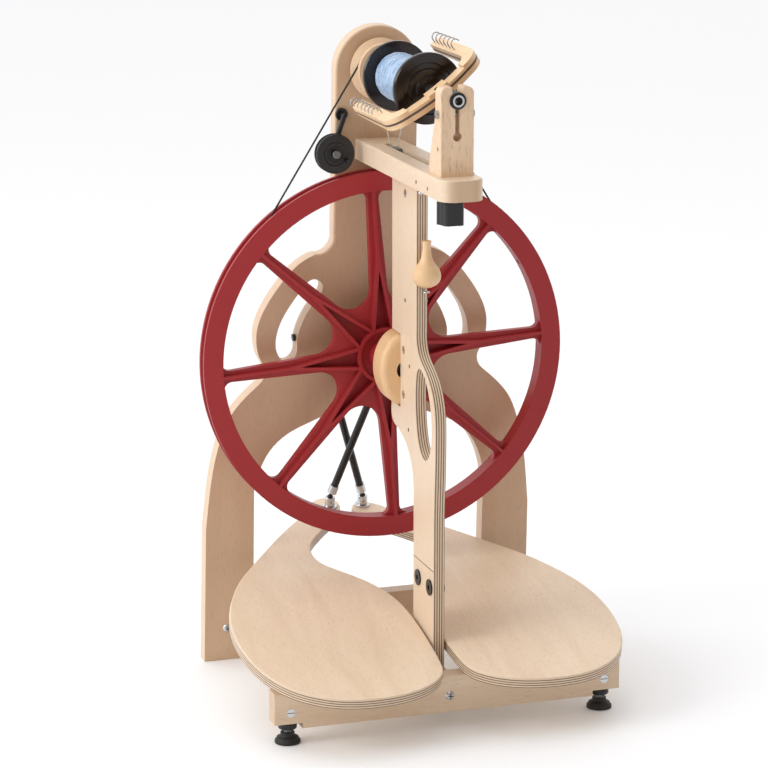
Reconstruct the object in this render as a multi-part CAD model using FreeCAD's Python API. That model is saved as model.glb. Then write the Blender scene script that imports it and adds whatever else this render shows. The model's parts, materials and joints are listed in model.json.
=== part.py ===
"""Double-treadle castle spinning wheel, one STEP file for each sub-part.

Millimetres, Z up, X to the right, the spinner sits on the -Y side.
X = 0 is the plane of the drive axle.  The floor is Z = 0.
Every y below is measured from the foot of the back board's front face;
the whole model is moved by frame_shift_y at the end.
"""
import FreeCAD
import Part
import math
import os

V = FreeCAD.Vector
X_AXIS = V(1, 0, 0)
Y_AXIS = V(0, 1, 0)
Z_AXIS = V(0, 0, 1)

# Row frame
frame_shift_y = 121.3

# Fits
run_gap = 0.05            # radial gap of a shaft in its bearing
seat_gap = 0.3            # gap between faces that slide or turn past each other
screw_gap = 0.1           # radial gap of a screw in wood

# Back board
board_lean = 3.4          # degrees, the top leans towards the spinner
board_t = 18.0
neck_half = 46.5
neck_fillet_z = 482.0
neck_fillet = [(48.2, 470.5), (54.0, 463.5)]
leg_half = 190.0
leg_w = 56.0
arch_half = leg_half - leg_w
arch_spring_z = 197.0
arch_top_z = 300.0
lobe_insets = [(1.4, 156.0), (8.2, 217.0), (19.0, 262.0), (29.3, 285.0), (42.0, 300.6), (55.8, 313.4),
               (65.4, 323.4), (67.4, 334.0), (62.0, 346.0), (57.8, 362.0), (58.2, 380.0), (63.6, 396.5),
               (75.0, 416.3), (87.0, 432.5), (104.7, 450.4), (124.0, 460.0)]
arch_pts = [(125.3, 225.0), (115.6, 241.6), (94.0, 260.0), (67.4, 271.5), (38.0, 285.0)]
slot_pts = [(84.6, 418.3), (95.6, 403.2), (105.2, 386.4), (110.4, 368.0), (108.0, 350.0), (98.0, 341.0),
            (88.0, 348.0), (86.5, 364.0), (82.0, 382.0), (73.0, 399.0), (62.0, 413.0), (58.5, 426.0),
            (67.0, 432.5)]
handle_round = 2.5

# Rear cross bar and its screws
cross_t = 18.0
cross_low = 12.0
cross_high = 54.0
cross_inset = 14.0        # how far the bar's ends stay inside the legs' outer edges
leg_screw_x = leg_half - 26.0
leg_screw_z = 37.0
dome_head_r = 5.0
dome_head_h = 2.6
wood_screw_r = 2.4

# Front bar and feet
bar_half = 190.0
bar_front_y = -285.0
bar_t = 20.0
bar_low = 17.0
bar_high = 57.0
bar_notch_x = 160.0
bar_notch_h = 6.4
bar_round = 2.0
foot_x = 172.8
foot_y = -272.0
nut_z = 35.4
barrel_nut_r = 4.5
barrel_nut_l = 17.0
foot_stem_r = 3.0
foot_disc_r = 9.5
foot_disc_t = 7.5
foot_pad_r = 13.4
foot_pad_top_r = 7.4
foot_pad_h = 11.0

# Lower post with its rail, and the front post above it
post_t = 12.0
post_low_front = -248.0
lower_rear_y = -182.0
rail_top = 54.0
rail_low = 18.0
rail_corner_r = 26.0
lap_low = 119.5
lap_high = 159.5
lap_bolt_z = 139.6
lap_bolt_ys = [-198.5, -236.3]
lap_head_r = 8.6
lap_head_t = 1.6
lap_shank_r = 3.4
post_top_front_y = -189.5
post_top_rear_y = -109.0
post_bulge_y = -252.0
post_rear_curve = [(-106.0, 303.0), (-111.5, 291.0), (-127.0, 286.5), (-148.8, 280.0), (-164.5, 269.5),
                   (-175.0, 257.0), (-180.5, 242.0)]
post_front_curve = [(-190.5, 392.0), (-197.0, 381.0), (-213.0, 371.0), (-233.0, 358.0), (-246.0, 341.0)]
grip_pts = [(-202.5, 367.0), (-214.0, 363.0), (-227.0, 350.0), (-236.0, 333.0), (-240.0, 313.0),
            (-238.5, 294.0), (-231.0, 279.0), (-219.0, 272.5), (-207.0, 276.0), (-196.0, 289.0),
            (-189.5, 309.0), (-187.0, 332.0), (-188.5, 352.0), (-193.5, 363.5)]
small_hole_r = 2.4
small_holes = [(-166.6, 362.0), (-163.7, 292.3), (-151.8, 430.2)]
post_nut_y = -147.0
post_nut_r = 4.6

# Drive wheel
axle_z = 351.0
wheel_y = -57.0
wheel_r = 203.2
wheel_w = 19.0
rim_depth = 21.7
rim_inner_r = wheel_r - rim_depth
groove_depth = 14.7
groove_r = wheel_r - groove_depth
groove_w = 9.0
spoke_n = 8
spoke_rest = 4.0          # degrees, how far the wheel is turned in the photo
web_t = 8.0
spoke_half_out = 5.8
window_in_r = 29.0
rib_w = 3.6
rib_split_r = 108.0
hub_ring_r = 31.0
hub_ring_t = 4.0
pocket_floor = 2.0        # the web left behind the pocket between two ribs
window_in_fillet = 21.8
window_out_fillet = 9.0
rim_hole_deg = 30.7
rim_hole_r = 3.0
hub_r = 17.0
hub_half = 19.0
axle_r = 6.0
spacer_r = 10.0

# Front hub block
block_front_y = -137.0
block_t = 30.0
block_half_x = 27.0
block_half_z = 40.0
block_bore_r = 10.0
block_round = 7.0
block_bolt_dz = 24.3
block_bolt_r = 2.5
bolt_head_r = 4.4
bearing_r = 10.0
bearing_w = 7.0
front_bearing_y = -116.0

# Rear bearing in the back board
rear_bush_r = 13.0
rear_bush_front_y = -24.0
rear_bush_rear_y = 1.0

# Crank bar and footmen
crank_front_y = 3.0
crank_t = 6.0
crank_throw = 41.0
crank_rest = 6.8          # degrees
crank_w = 17.0
crank_pin_r = 4.0
eye_r = 8.0
eye_t = 6.0
pin_clear = 2.7           # the opened pivot, pin end to crank bar
footman_y_l = 15.5
footman_y_r = 44.0
rod_r = 4.2
ferrule_r = 5.6
ferrule_l = 14.0
ferrule_up = 5.5          # from the ball's centre to the lower ferrule
neck_r = 2.0
ball_r = 3.2

# Treadles
treadle_t = 12.0
pivot_y = -276.0
pivot_z = 60.4
treadle_under_z = 64.0
treadle_slope = 10.4      # degrees, mean of the two
treadle_split = 0.7       # degrees, left higher, right lower in the photo
tip_x = 22.0
tip_y_l = 76.0
tip_y_r = 90.0
treadle_out = [(-63.6, 56.5), (-95.6, 21.5), (-142.9, -38.0), (-166.5, -70.0), (-184.5, -103.0),
               (-199.0, -140.0), (-206.5, -178.0), (-207.5, -214.0), (-203.5, -248.0), (-194.5, -279.0),
               (-179.5, -305.0), (-162.0, -322.0), (-139.4, -334.5), (-95.5, -341.0), (-58.3, -335.5),
               (-30.0, -321.0), (-15.5, -304.0), (-11.0, -283.0), (-9.0, -244.7), (-9.5, -183.5),
               (-17.5, -134.0), (-40.0, -91.0), (-61.0, -65.0), (-70.5, -50.0), (-74.0, -31.5),
               (-69.0, -8.0), (-54.0, 14.0), (-40.0, 31.0), (-22.0, 51.0)]
tip_end = [(-9.0, 78.0), (-10.5, 92.0), (-21.0, 99.0), (-36.0, 94.0)]
treadle_round = 1.6
hinge_xs = [-140.0, -60.0]
hinge_w = 12.0
hinge_pin_r = 1.5
hinge_r = 3.1
cheek_t = 3.0
flange_r = 8.8
flange_t = 2.4
sleeve_r = 5.9
sleeve_l = 13.0

# Mother-of-all, the beam that carries the flyer
moa_half = 23.2
moa_over_wheel = 8.8
moa_depth = 22.0
moa_low = axle_z + wheel_r + moa_over_wheel
moa_high = moa_low + moa_depth
moa_nut = (-151.5, moa_low - 19.0)
moa_front_y = -321.5
moa_corner_r = 16.0
moa_round = 2.0
slot_half = 5.2
slot_rear_y = -78.0
slot_front_y = -224.0
slot_floor = moa_low + 8.0
side_hole_r = 2.3
side_holes = [(-238.4, moa_low + 8.0), (-274.0, moa_low + 7.0)]
moa_bolt_r = 3.0
post_nuts = [(post_nut_y, axle_z - block_bolt_dz), (post_nut_y, axle_z + block_bolt_dz), moa_nut]
peg_x = -3.6
peg_r = 1.2
peg_head_r = 2.6
peg_z = moa_low - 11.2

# Flyer, whorl and bobbin
flyer_lift = 76.0
flyer_z = moa_high + flyer_lift
board_over_flyer = 47.0
board_top = flyer_z + board_over_flyer
flyer_roll = 36.0         # degrees
shaft_r = 4.8
whorl_groove_r = 24.5
whorl_rear_r = 33.5
whorl_front_r = 30.0
whorl_groove_w = 8.0
whorl_flange_t = 6.0
whorl_hub_r = 17.0
whorl_front_y = -89.0
arm_r = 53.0
arm_t = 13.0              # width of an arm in the flyer's plane
arm_w = 13.0              # thickness of the flyer's wood
arm_tip_w = 9.5
arm_tip_y = -113.0
arm_bend_y = -210.0
nose_y = -250.0
nose_depth = 17.0
nose_half = 12.0
nose_step = 2.5
nose_step_end = 36.0
tip_corner = 3.0
hook_n = 7
hook_first = 8.0
hook_pitch = 12.0
hook_r = 4.6
hook_wire_r = 0.65
hook_stem = 4.5
hook_seat = 3.0
hook_sweep = 215.0
bobbin_rear_y = -107.5
bobbin_front_y = -208.5
bobbin_r = 37.0
bobbin_disc_t = 6.0
bobbin_core_r = 12.0
yarn_r = 26.0
brake_y = -97.0
brake_groove_r = 20.0
brake_flange_r = 23.5
brake_flange_t = 2.0
brake_groove_w = 5.0
cord_r = 0.6
band_r = 1.0

# Front maiden
maiden_half = 17.5
maiden_front_y = -298.0
maiden_base = 36.0
maiden_top_t = 17.0
maiden_top = flyer_z + 14.0
maiden_curve = [(4.0, -56.0), (12.5, -34.0)]
maiden_curve_top = flyer_z - 13.0
maiden_hole_z = flyer_z - 49.0
maiden_bore_r = 8.6
orifice_r = 6.0
orifice_in_r = 4.2
keyhole_z = flyer_z - 36.0
keyhole_r = 4.7
keyslot_half = 2.4
clamp_bolt_z = flyer_z - 14.0
clamp_bolt_r = 2.0
clamp_y = maiden_front_y + 8.5
stud_y = -280.0
stud_r = 3.2
knob_r = 14.5
knob_lobe_r = 5.0
knob_low = moa_low - 29.0

# Belt tensioner
boss_x = -40.0
boss_z = flyer_z - 48.4
boss_r = 6.8
boss_t = 3.4
tens_x = -53.9
tens_z = flyer_z - 87.2
tens_rod_r = 2.9
tens_bend_y = -48.2
pulley_r = 21.2
pulley_w = 10.0
pulley_groove_r = 17.4
pulley_bore_r = 9.0
pulley_nut_r = 4.6

# Threading hook on the front post
hook_y = -204.5
hook_low = 454.0
hook_high = 503.0
pear_r = 15.0
eye_z = 449.0
eye_ring_r = 3.0
eye_wire_r = 0.8
hook_wire = 0.5
hook_wire_x = -1.0
hook_bend_r = 1.0
hook_wire_low = 440.0


def cyl(r, length, base, axis=Z_AXIS):
    """Plain cylinder from base along axis."""
    return Part.makeCylinder(r, length, V(*base), axis)


def ycyl(r, x, z, y0, y1):
    """Cylinder along Y between two y values."""
    return Part.makeCylinder(r, abs(y1 - y0), V(x, min(y0, y1), z), Y_AXIS)


def tube(r_out, r_in, x, z, y0, y1):
    """Ring along Y."""
    return ycyl(r_out, x, z, y0, y1).cut(ycyl(r_in, x, z, y0 - 1, y1 + 1))


def box(x0, x1, y0, y1, z0, z1):
    """Box between two corners."""
    return Part.makeBox(x1 - x0, y1 - y0, z1 - z0, V(x0, y0, z0))


def spline(points):
    """Smooth open curve through points."""
    curve = Part.BSplineCurve()
    curve.interpolate([V(*p) for p in points])
    return curve.toShape()


def loop(points):
    """Smooth closed curve through points."""
    curve = Part.BSplineCurve()
    curve.interpolate(Points=[V(*p) for p in points], PeriodicFlag=True)
    return Part.Wire([curve.toShape()])


def poly(points):
    """Closed straight-sided wire."""
    return Part.makePolygon([V(*p) for p in points] + [V(*points[0])])


def prism(wire, direction):
    """Solid from a flat wire pushed along direction."""
    return Part.Face(wire).extrude(direction)


def fuse(shapes):
    """One clean solid from pieces that touch or overlap."""
    shape = shapes[0].multiFuse(shapes[1:])
    return shape.removeSplitter()


def group(shapes):
    """Several separate like pieces in one node."""
    return Part.makeCompound(shapes)


def mirror_x(shape):
    """Copy across the X = 0 plane."""
    return shape.mirror(V(0, 0, 0), X_AXIS)


def lean(shape):
    """Tip a shape that was drawn upright to the back board's lean."""
    out = shape.copy()
    out.rotate(V(0, 0, 0), X_AXIS, board_lean)
    return out


def board_y(z, depth=0.0):
    """The y of the board's front face at height z, or a plane behind it."""
    angle = math.radians(board_lean)
    return -z * math.tan(angle) + depth / math.cos(angle)


def round_edges(shape, radius, test):
    """Fillet the edges that pass test."""
    edges = [e for e in shape.Edges if test(e)]
    return shape.makeFillet(radius, edges) if edges else shape


def rod_between(a, b, r):
    """Round bar between two points."""
    start = V(*a)
    run = V(*b) - start
    return Part.makeCylinder(r, run.Length, start, run)


def dome(r, h, x, z, y_face):
    """Low domed screw head standing out of a front face."""
    big = (r * r + h * h) / (2 * h)
    ball = Part.makeSphere(big, V(x, y_face + big - h, z))
    return ball.common(ycyl(r, x, z, y_face - h - 1, y_face))


def mirrored_outline(right_side, top):
    """Closed wire from right-hand edges, their mirror images and the top."""
    left_side = [mirror_x(e) for e in right_side]
    return Part.Wire(Part.__sortEdges__(right_side + left_side + [top]))


def make_board():
    """Plywood back board with neck, shoulder lobes, legs and arch."""
    low = -4.0
    arc_z = board_top - neck_half
    lobe_pts = [(leg_half - inset, z) for inset, z in lobe_insets]
    leg = Part.makeLine(V(leg_half, 0, low), V(lobe_pts[0][0], 0, lobe_pts[0][1]))
    lobe = spline([(x, 0, z) for x, z in lobe_pts])
    blend = [(x, 0, z) for x, z in reversed(neck_fillet)]
    shoulder = spline([(lobe_pts[-1][0], 0, lobe_pts[-1][1])] + blend + [(neck_half, 0, neck_fillet_z)])
    neck = Part.makeLine(V(neck_half, 0, neck_fillet_z), V(neck_half, 0, arc_z))
    right = [leg, lobe, shoulder, neck]
    top = Part.Arc(V(neck_half, 0, arc_z), V(0, 0, board_top), V(-neck_half, 0, arc_z)).toShape()
    foot = Part.makeLine(V(leg_half, 0, low), V(arch_half, 0, low))
    inner_leg = Part.makeLine(V(arch_half, 0, low), V(arch_half, 0, arch_spring_z))
    inner = [(arch_half, arch_spring_z)] + arch_pts + [(14.0, arch_top_z - 2.5), (0.0, arch_top_z)]
    arch = spline([(x, 0, z) for x, z in inner])
    right += [foot, inner_leg, arch]
    wire = mirrored_outline(right, top)
    board = prism(wire, V(0, board_t, 0))
    board = round_edges(board, handle_round, lambda e: e.BoundBox.YLength < 0.01 and e.BoundBox.ZMin > 400)
    slot = prism(loop([(x, -1, z) for x, z in slot_pts]), V(0, board_t + 2, 0))
    slots = [slot, mirror_x(slot)]
    board = lean(board.cut(group(slots)))
    board = board.cut(box(-300, 300, -60, 80, -60, 0))
    board = board.cut(ycyl(rear_bush_r, 0, axle_z, -60, 30))
    board = board.cut(ycyl(flyer_bush_r, 0, flyer_z, -80, 30))
    for x in (-leg_screw_x, leg_screw_x):
        board = board.cut(lean(ycyl(wood_screw_r + screw_gap, x, leg_screw_z, -5, board_t + 5)))
    board = board.cut(lean(ycyl(moa_bolt_r + screw_gap, 0, moa_bolt_z, -5, board_t + 5)))
    board = board.cut(ycyl(tens_rod_r + run_gap, boss_x, boss_z, -60, board_y(boss_z) + boss_depth))
    return board


flyer_bush_r = 12.0
moa_bolt_z = 0.5 * (moa_low + moa_high)
boss_hole_z = boss_z / math.cos(math.radians(board_lean))
boss_depth = 12.0


def make_cross_bar():
    """Bar screwed to the backs of both legs."""
    half = leg_half - cross_inset
    bar = box(-half, half, board_t, board_t + cross_t, cross_low, cross_high)
    bar = round_edges(bar, 2.0, lambda e: e.BoundBox.XLength > 100 and e.BoundBox.YMin > board_t + 1)
    for x in (-leg_screw_x, leg_screw_x):
        bar = bar.cut(ycyl(wood_screw_r + screw_gap, x, leg_screw_z, board_t - 1, board_t + cross_t - 3))
    return lean(bar)


def make_leg_screws():
    """Two domed cross-head screws through the legs into the cross bar."""
    screws = []
    for x in (-leg_screw_x, leg_screw_x):
        shank = ycyl(wood_screw_r, x, leg_screw_z, -0.2, board_t + cross_t - 5)
        screws.append(lean(fuse([dome(dome_head_r, dome_head_h, x, leg_screw_z, 0), shank])))
    return group(screws)


def make_front_bar():
    """Solid bar under the treadles, cut back underneath at both ends."""
    rear = bar_front_y + bar_t
    bar = box(-bar_half, bar_half, bar_front_y, rear, bar_low, bar_high)
    bar = round_edges(bar, bar_round, lambda e: e.BoundBox.XLength > 100 and e.BoundBox.YMax < rear - 1)
    for side in (-1, 1):
        x0, x1 = sorted((side * bar_notch_x, side * (bar_half + 5)))
        bar = bar.cut(box(x0, x1, bar_front_y - 1, rear + 1, bar_low - 1, bar_low + bar_notch_h))
        bar = bar.cut(ycyl(barrel_nut_r, side * foot_x, nut_z, bar_front_y - 1, bar_front_y + barrel_nut_l))
        bar = bar.cut(cyl(foot_stem_r + 0.4, 40, (side * foot_x, foot_y, bar_low - 5)))
    return bar.cut(ycyl(wood_screw_r + screw_gap, 0, nut_z, bar_front_y - 1, rear + 1))


def make_bar_screw():
    """Cross-head screw from the bar's front face into the lower post."""
    rear = bar_front_y + bar_t
    shank = ycyl(wood_screw_r, 0, nut_z, bar_front_y - 0.2, rear + 22)
    return fuse([dome(dome_head_r, dome_head_h, 0, nut_z, bar_front_y), shank])


def make_foot_nuts():
    """Slotted barrel nuts in the bar's ends; the feet screw into them."""
    nuts = []
    for side in (-1, 1):
        x = side * foot_x
        nut = ycyl(barrel_nut_r, x, nut_z, bar_front_y - 0.4, bar_front_y + barrel_nut_l)
        nut = nut.cut(box(x - 4, x + 4, bar_front_y - 1, bar_front_y + 0.8, nut_z - 0.6, nut_z + 0.6))
        nuts.append(nut.cut(cyl(foot_stem_r + run_gap, 40, (x, foot_y, bar_low))))
    return group(nuts)


def make_foot_stem(side):
    """Threaded stem with its lock disc under the bar."""
    x = side * foot_x
    disc_top = bar_low + bar_notch_h - seat_gap
    stem = cyl(foot_stem_r, nut_z + 8 - foot_pad_h, (x, foot_y, foot_pad_h))
    disc = cyl(foot_disc_r, foot_disc_t, (x, foot_y, disc_top - foot_disc_t))
    disc = round_edges(disc, 1.0, lambda e: True)
    return fuse([stem, disc])


def make_foot_pad(side):
    """Domed pad that stands on the floor."""
    x = side * foot_x
    top = foot_pad_h
    rim = foot_pad_r
    waist = foot_pad_top_r
    pts = [(0, 0, 0), (rim, 0, 0), (rim, 0, top * 0.24), (rim - 1.4, 0, top * 0.36), (rim - 2.0, 0, top * 0.52),
           (waist + 0.6, 0, top * 0.68), (waist, 0, top * 0.8), (waist, 0, top), (0, 0, top)]
    pad = Part.Face(poly(pts)).revolve(V(0, 0, 0), Z_AXIS, 360)
    pad.translate(V(x, foot_y, 0))
    return pad


def make_lower_post():
    """Upright and floor rail in one board, halved into the front post."""
    front = bar_front_y + bar_t
    half = post_t / 2
    reach = 60.0
    pts = [(half, front, rail_low), (half, front, rail_top), (half, post_low_front, rail_top),
           (half, post_low_front, lap_high), (half, lower_rear_y, lap_high),
           (half, lower_rear_y, rail_top), (half, reach, rail_top), (half, reach, rail_low)]
    post = prism(poly(pts), V(-post_t, 0, 0))
    post = round_edges(post, rail_corner_r,
                       lambda e: e.BoundBox.XLength > 1 and abs(e.BoundBox.YMin - lower_rear_y) < 0.01
                       and abs(e.BoundBox.ZMin - rail_top) < 0.01)
    post = post.cut(box(0, half + 1, -400, 0, lap_low, lap_high + 1))
    post = post.cut(lean(box(-20, 20, board_t, board_t + 80, -20, 90)))
    post = post.cut(ycyl(wood_screw_r + screw_gap, 0, nut_z, front - 1, front + 24))
    for y in lap_bolt_ys:
        post = post.cut(cyl(lap_shank_r + screw_gap, 20, (-half - 1, y, lap_bolt_z), X_AXIS))
    return post


def make_front_post():
    """Front post board with bulged grip, hand slot and notch for the hub block."""
    half = post_t / 2
    block_rear = block_front_y + block_t
    z_hi = axle_z + block_half_z
    z_lo = axle_z - block_half_z
    z_join = post_rear_curve[0][1]
    edges = [spline([(half, y, z) for y, z in post_rear_curve] + [(half, lower_rear_y, 222.0)]),
             Part.makeLine(V(half, lower_rear_y, 222.0), V(half, lower_rear_y, lap_low)),
             Part.makeLine(V(half, lower_rear_y, lap_low), V(half, post_low_front, lap_low)),
             Part.makeLine(V(half, post_low_front, lap_low), V(half, post_low_front, 215.0)),
             spline([(half, post_low_front, 215.0), (half, -250.0, 250.0), (half, post_bulge_y, 300.0)]
                    + [(half, y, z) for y, z in reversed(post_front_curve)]
                    + [(half, post_top_front_y, 405.0)]),
             Part.makeLine(V(half, post_top_front_y, 405.0), V(half, post_top_front_y, moa_low)),
             Part.makeLine(V(half, post_top_front_y, moa_low), V(half, post_top_rear_y, moa_low)),
             Part.makeLine(V(half, post_top_rear_y, moa_low), V(half, post_top_rear_y, z_hi)),
             Part.makeLine(V(half, post_top_rear_y, z_hi), V(half, block_front_y, z_hi)),
             Part.makeLine(V(half, block_front_y, z_hi), V(half, block_front_y, z_lo)),
             Part.makeLine(V(half, block_front_y, z_lo), V(half, block_rear, z_lo)),
             Part.makeLine(V(half, block_rear, z_lo), V(half, post_rear_curve[0][0], z_join))]
    post = prism(Part.Wire(Part.__sortEdges__(edges)), V(-post_t, 0, 0))
    post = post.cut(prism(loop([(half + 1, y, z) for y, z in grip_pts]), V(-post_t - 2, 0, 0)))
    post = post.cut(box(-half - 1, 0, -400, 0, lap_low - 1, lap_high))
    for y, z in small_holes:
        post = post.cut(cyl(small_hole_r, post_t + 2, (-half - 1, y, z), X_AXIS))
    for y, z in post_nuts:
        post = post.cut(cyl(post_nut_r, post_t + 2, (-half - 1, y, z), X_AXIS))
    for y in lap_bolt_ys:
        post = post.cut(cyl(lap_shank_r + screw_gap, 20, (-half - 1, y, lap_bolt_z), X_AXIS))
    for dz in (-block_bolt_dz, block_bolt_dz):
        post = post.cut(ycyl(block_bolt_r + screw_gap, 0, axle_z + dz, post_nut_y - 6, block_front_y + 1))
    post = post.cut(cyl(moa_bolt_r + screw_gap, 60, (0, moa_nut[0], moa_nut[1] - 8)))
    post = post.cut(ycyl(peg_r, peg_x, peg_z, post_top_front_y - 1, post_top_front_y + 8))
    post = post.cut(ycyl(eye_wire_r, 0, eye_z, post_top_front_y - 1, post_top_front_y + 8))
    return post




def make_lap_bolts():
    """Two flat-head joint bolts through the halved joint, with their cap nuts."""
    half = post_t / 2
    bolts = []
    for y in lap_bolt_ys:
        head = cyl(lap_head_r, lap_head_t, (-half - lap_head_t, y, lap_bolt_z), X_AXIS)
        hexa = [(-half - lap_head_t - 1, y + 3.2 * math.cos(math.radians(60 * k)),
                 lap_bolt_z + 3.2 * math.sin(math.radians(60 * k))) for k in range(6)]
        head = head.cut(prism(poly(hexa), V(1 + lap_head_t * 0.8, 0, 0)))
        shank = cyl(lap_shank_r, post_t, (-half, y, lap_bolt_z), X_AXIS)
        cap = cyl(lap_head_r, lap_head_t, (half, y, lap_bolt_z), X_AXIS)
        bolts.append(fuse([head, shank, cap]))
    return group(bolts)


def make_post_nuts():
    """Barrel nuts in the front post."""
    half = post_t / 2
    nuts = []
    for y, z in post_nuts:
        nut = cyl(post_nut_r, post_t - 0.6, (-half + 0.3, y, z), X_AXIS)
        nuts.append(nut.cut(box(-half, -half + 1.0, y - 3.6, y + 3.6, z - 0.6, z + 0.6)))
    cut_r = block_bolt_r
    nuts[0] = nuts[0].cut(ycyl(cut_r, 0, post_nuts[0][1], post_nut_y - 8, block_front_y))
    nuts[1] = nuts[1].cut(ycyl(cut_r, 0, post_nuts[1][1], post_nut_y - 8, block_front_y))
    nuts[2] = nuts[2].cut(cyl(moa_bolt_r, 60, (0, moa_nut[0], moa_nut[1] - 8)))
    return group(nuts)


def make_hub_block():
    """Oval wooden block in the post's notch; it carries the axle's front bearing."""
    curve = Part.Ellipse(V(0, 0, 0), block_half_z, block_half_x)
    face = Part.Face(Part.Wire([curve.toShape()]))
    face.rotate(V(0, 0, 0), Z_AXIS, 90)
    face.rotate(V(0, 0, 0), X_AXIS, 90)
    face.translate(V(0, block_front_y, axle_z))
    block = face.extrude(V(0, block_t, 0))
    block = round_edges(block, block_round, lambda e: e.BoundBox.YMax < block_front_y + 0.1)
    block = block.cut(ycyl(block_bore_r, 0, axle_z, block_front_y - 1, block_front_y + block_t + 1))
    for dz in (-block_bolt_dz, block_bolt_dz):
        z = axle_z + dz
        block = block.cut(ycyl(block_bolt_r + screw_gap, 0, z, block_front_y - 1, block_front_y + block_t))
        rear = block_front_y + block_t
        block = block.cut(ycyl(bolt_head_r + 0.2, 0, z, rear - 6, rear + 1))
    return block


def make_block_bolts():
    """Two bolts from the back of the hub block into the post's barrel nuts."""
    bolts = []
    rear = block_front_y + block_t
    for dz in (-block_bolt_dz, block_bolt_dz):
        z = axle_z + dz
        shank = ycyl(block_bolt_r, 0, z, post_nut_y - 4, rear - 5)
        bolts.append(fuse([shank, ycyl(bolt_head_r, 0, z, rear - 6, rear - 2)]))
    return group(bolts)


def make_front_bearing():
    """Ball bearing ring pressed in the hub block."""
    y0 = front_bearing_y - bearing_w / 2
    return tube(bearing_r, axle_r + run_gap, 0, axle_z, y0, y0 + bearing_w)


def make_rear_bearing():
    """Flanged bush in the back board."""
    return tube(rear_bush_r, axle_r + run_gap, 0, axle_z, rear_bush_front_y, rear_bush_rear_y)


def wheel_window():
    """One rounded three-cornered window, drawn about the +X direction."""
    half = math.pi / spoke_n
    reach = rim_inner_r
    side = math.asin(spoke_half_out / reach)
    a0 = half - side
    corner = V(reach * math.cos(a0), 0, reach * math.sin(a0))
    corner2 = V(corner.x, 0, -corner.z)
    tip = V(window_in_r, 0, 0)
    arc = Part.Arc(corner, V(reach, 0, 0), corner2).toShape()
    edges = [Part.makeLine(tip, corner), arc, Part.makeLine(corner2, tip)]
    solid = prism(Part.Wire(Part.__sortEdges__(edges)), V(0, wheel_w, 0))
    outer = [e for e in solid.Edges if e.BoundBox.YLength > wheel_w - 1 and e.BoundBox.XMin > window_in_r + 1]
    solid = solid.makeFillet(window_out_fillet, outer)
    inner = [e for e in solid.Edges if e.BoundBox.YLength > wheel_w - 1 and e.BoundBox.XMax < window_in_r + 1]
    solid = solid.makeFillet(window_in_fillet, inner)
    solid.translate(V(0, wheel_y - wheel_w / 2, axle_z))
    return solid


def rib_hub_end():
    """Where a rib meets its neighbour's rib on the hub ring."""
    half = math.pi / spoke_n
    middle = hub_ring_r - hub_ring_t / 2
    return middle * math.cos(half), middle * math.sin(half)


def spoke_pocket():
    """Deep three-cornered pocket between the two ribs of the +X spoke."""
    hub_x, hub_z = rib_hub_end()
    y0 = wheel_y - wheel_w
    pts = [(rib_split_r, y0, 0), (hub_x, y0, hub_z), (hub_x, y0, -hub_z)]
    depth = wheel_y + web_t / 2 - pocket_floor - y0
    pocket = prism(poly(pts), V(0, depth, 0))
    pocket.translate(V(0, 0, axle_z))
    return pocket


def spoke_ribs():
    """Single rib outwards, two ribs that spread to the hub, on the +X spoke."""
    y0 = wheel_y - wheel_w / 2
    outer = box(rib_split_r - 4, rim_inner_r + 2, y0, y0 + wheel_w, -rib_w / 2, rib_w / 2)
    pieces = [outer]
    hub_x, hub_z = rib_hub_end()
    for side in (-1, 1):
        a = V(rib_split_r, 0, 0)
        b = V(hub_x, 0, side * hub_z)
        run = b - a
        n = V(-run.z, 0, run.x)
        n.normalize()
        n = n * (rib_w / 2)
        pts = [a + n, b + n, b - n, a - n]
        face = Part.Face(Part.makePolygon([V(p.x, y0, p.z) for p in pts] + [V(pts[0].x, y0, pts[0].z)]))
        pieces.append(face.extrude(V(0, wheel_w, 0)))
    ribs = fuse(pieces)
    ribs.translate(V(0, 0, axle_z))
    return ribs


def make_wheel():
    """Moulded drive wheel: grooved rim, webbed spokes and hub."""
    y0 = wheel_y - wheel_w / 2
    y1 = wheel_y + wheel_w / 2
    g = groove_w / 2
    rim_pts = [(rim_inner_r, y0), (wheel_r, y0), (wheel_r, y0 + 4.2), (groove_r, wheel_y - g * 0.45),
               (groove_r, wheel_y + g * 0.45), (wheel_r, y1 - 4.2), (wheel_r, y1), (rim_inner_r, y1)]
    rim = Part.Face(poly([(r, y, 0) for r, y in rim_pts])).revolve(V(0, 0, 0), Y_AXIS, 360)
    rim.translate(V(0, 0, axle_z))
    web = ycyl(rim_inner_r + 1, 0, axle_z, wheel_y - web_t / 2, wheel_y + web_t / 2)
    step = 360.0 / spoke_n
    windows = []
    pockets = []
    ribs = []
    base_window = wheel_window()
    base_pocket = spoke_pocket()
    base_rib = spoke_ribs()
    centre = V(0, 0, axle_z)
    for k in range(spoke_n):
        win = base_window.copy()
        win.rotate(centre, Y_AXIS, -spoke_rest - step * (k + 0.5))
        windows.append(win)
        pocket = base_pocket.copy()
        pocket.rotate(centre, Y_AXIS, -spoke_rest - step * k)
        pockets.append(pocket)
        rib = base_rib.copy()
        rib.rotate(centre, Y_AXIS, -spoke_rest - step * k)
        ribs.append(rib)
    web = web.cut(group(windows)).cut(pockets)
    ring = tube(hub_ring_r, hub_ring_r - hub_ring_t, 0, axle_z, y0, y1)
    hub = ycyl(hub_r, 0, axle_z, wheel_y - hub_half, wheel_y + hub_half)
    wheel = fuse([rim, web, ring, hub] + ribs)
    hole = cyl(rim_hole_r, wheel_r - rim_inner_r, (rim_inner_r - 5, wheel_y, axle_z), X_AXIS)
    hole.rotate(centre, Y_AXIS, -rim_hole_deg)
    wheel = wheel.cut(hole)
    return wheel.cut(ycyl(axle_r, 0, axle_z, -120, 20))


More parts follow.
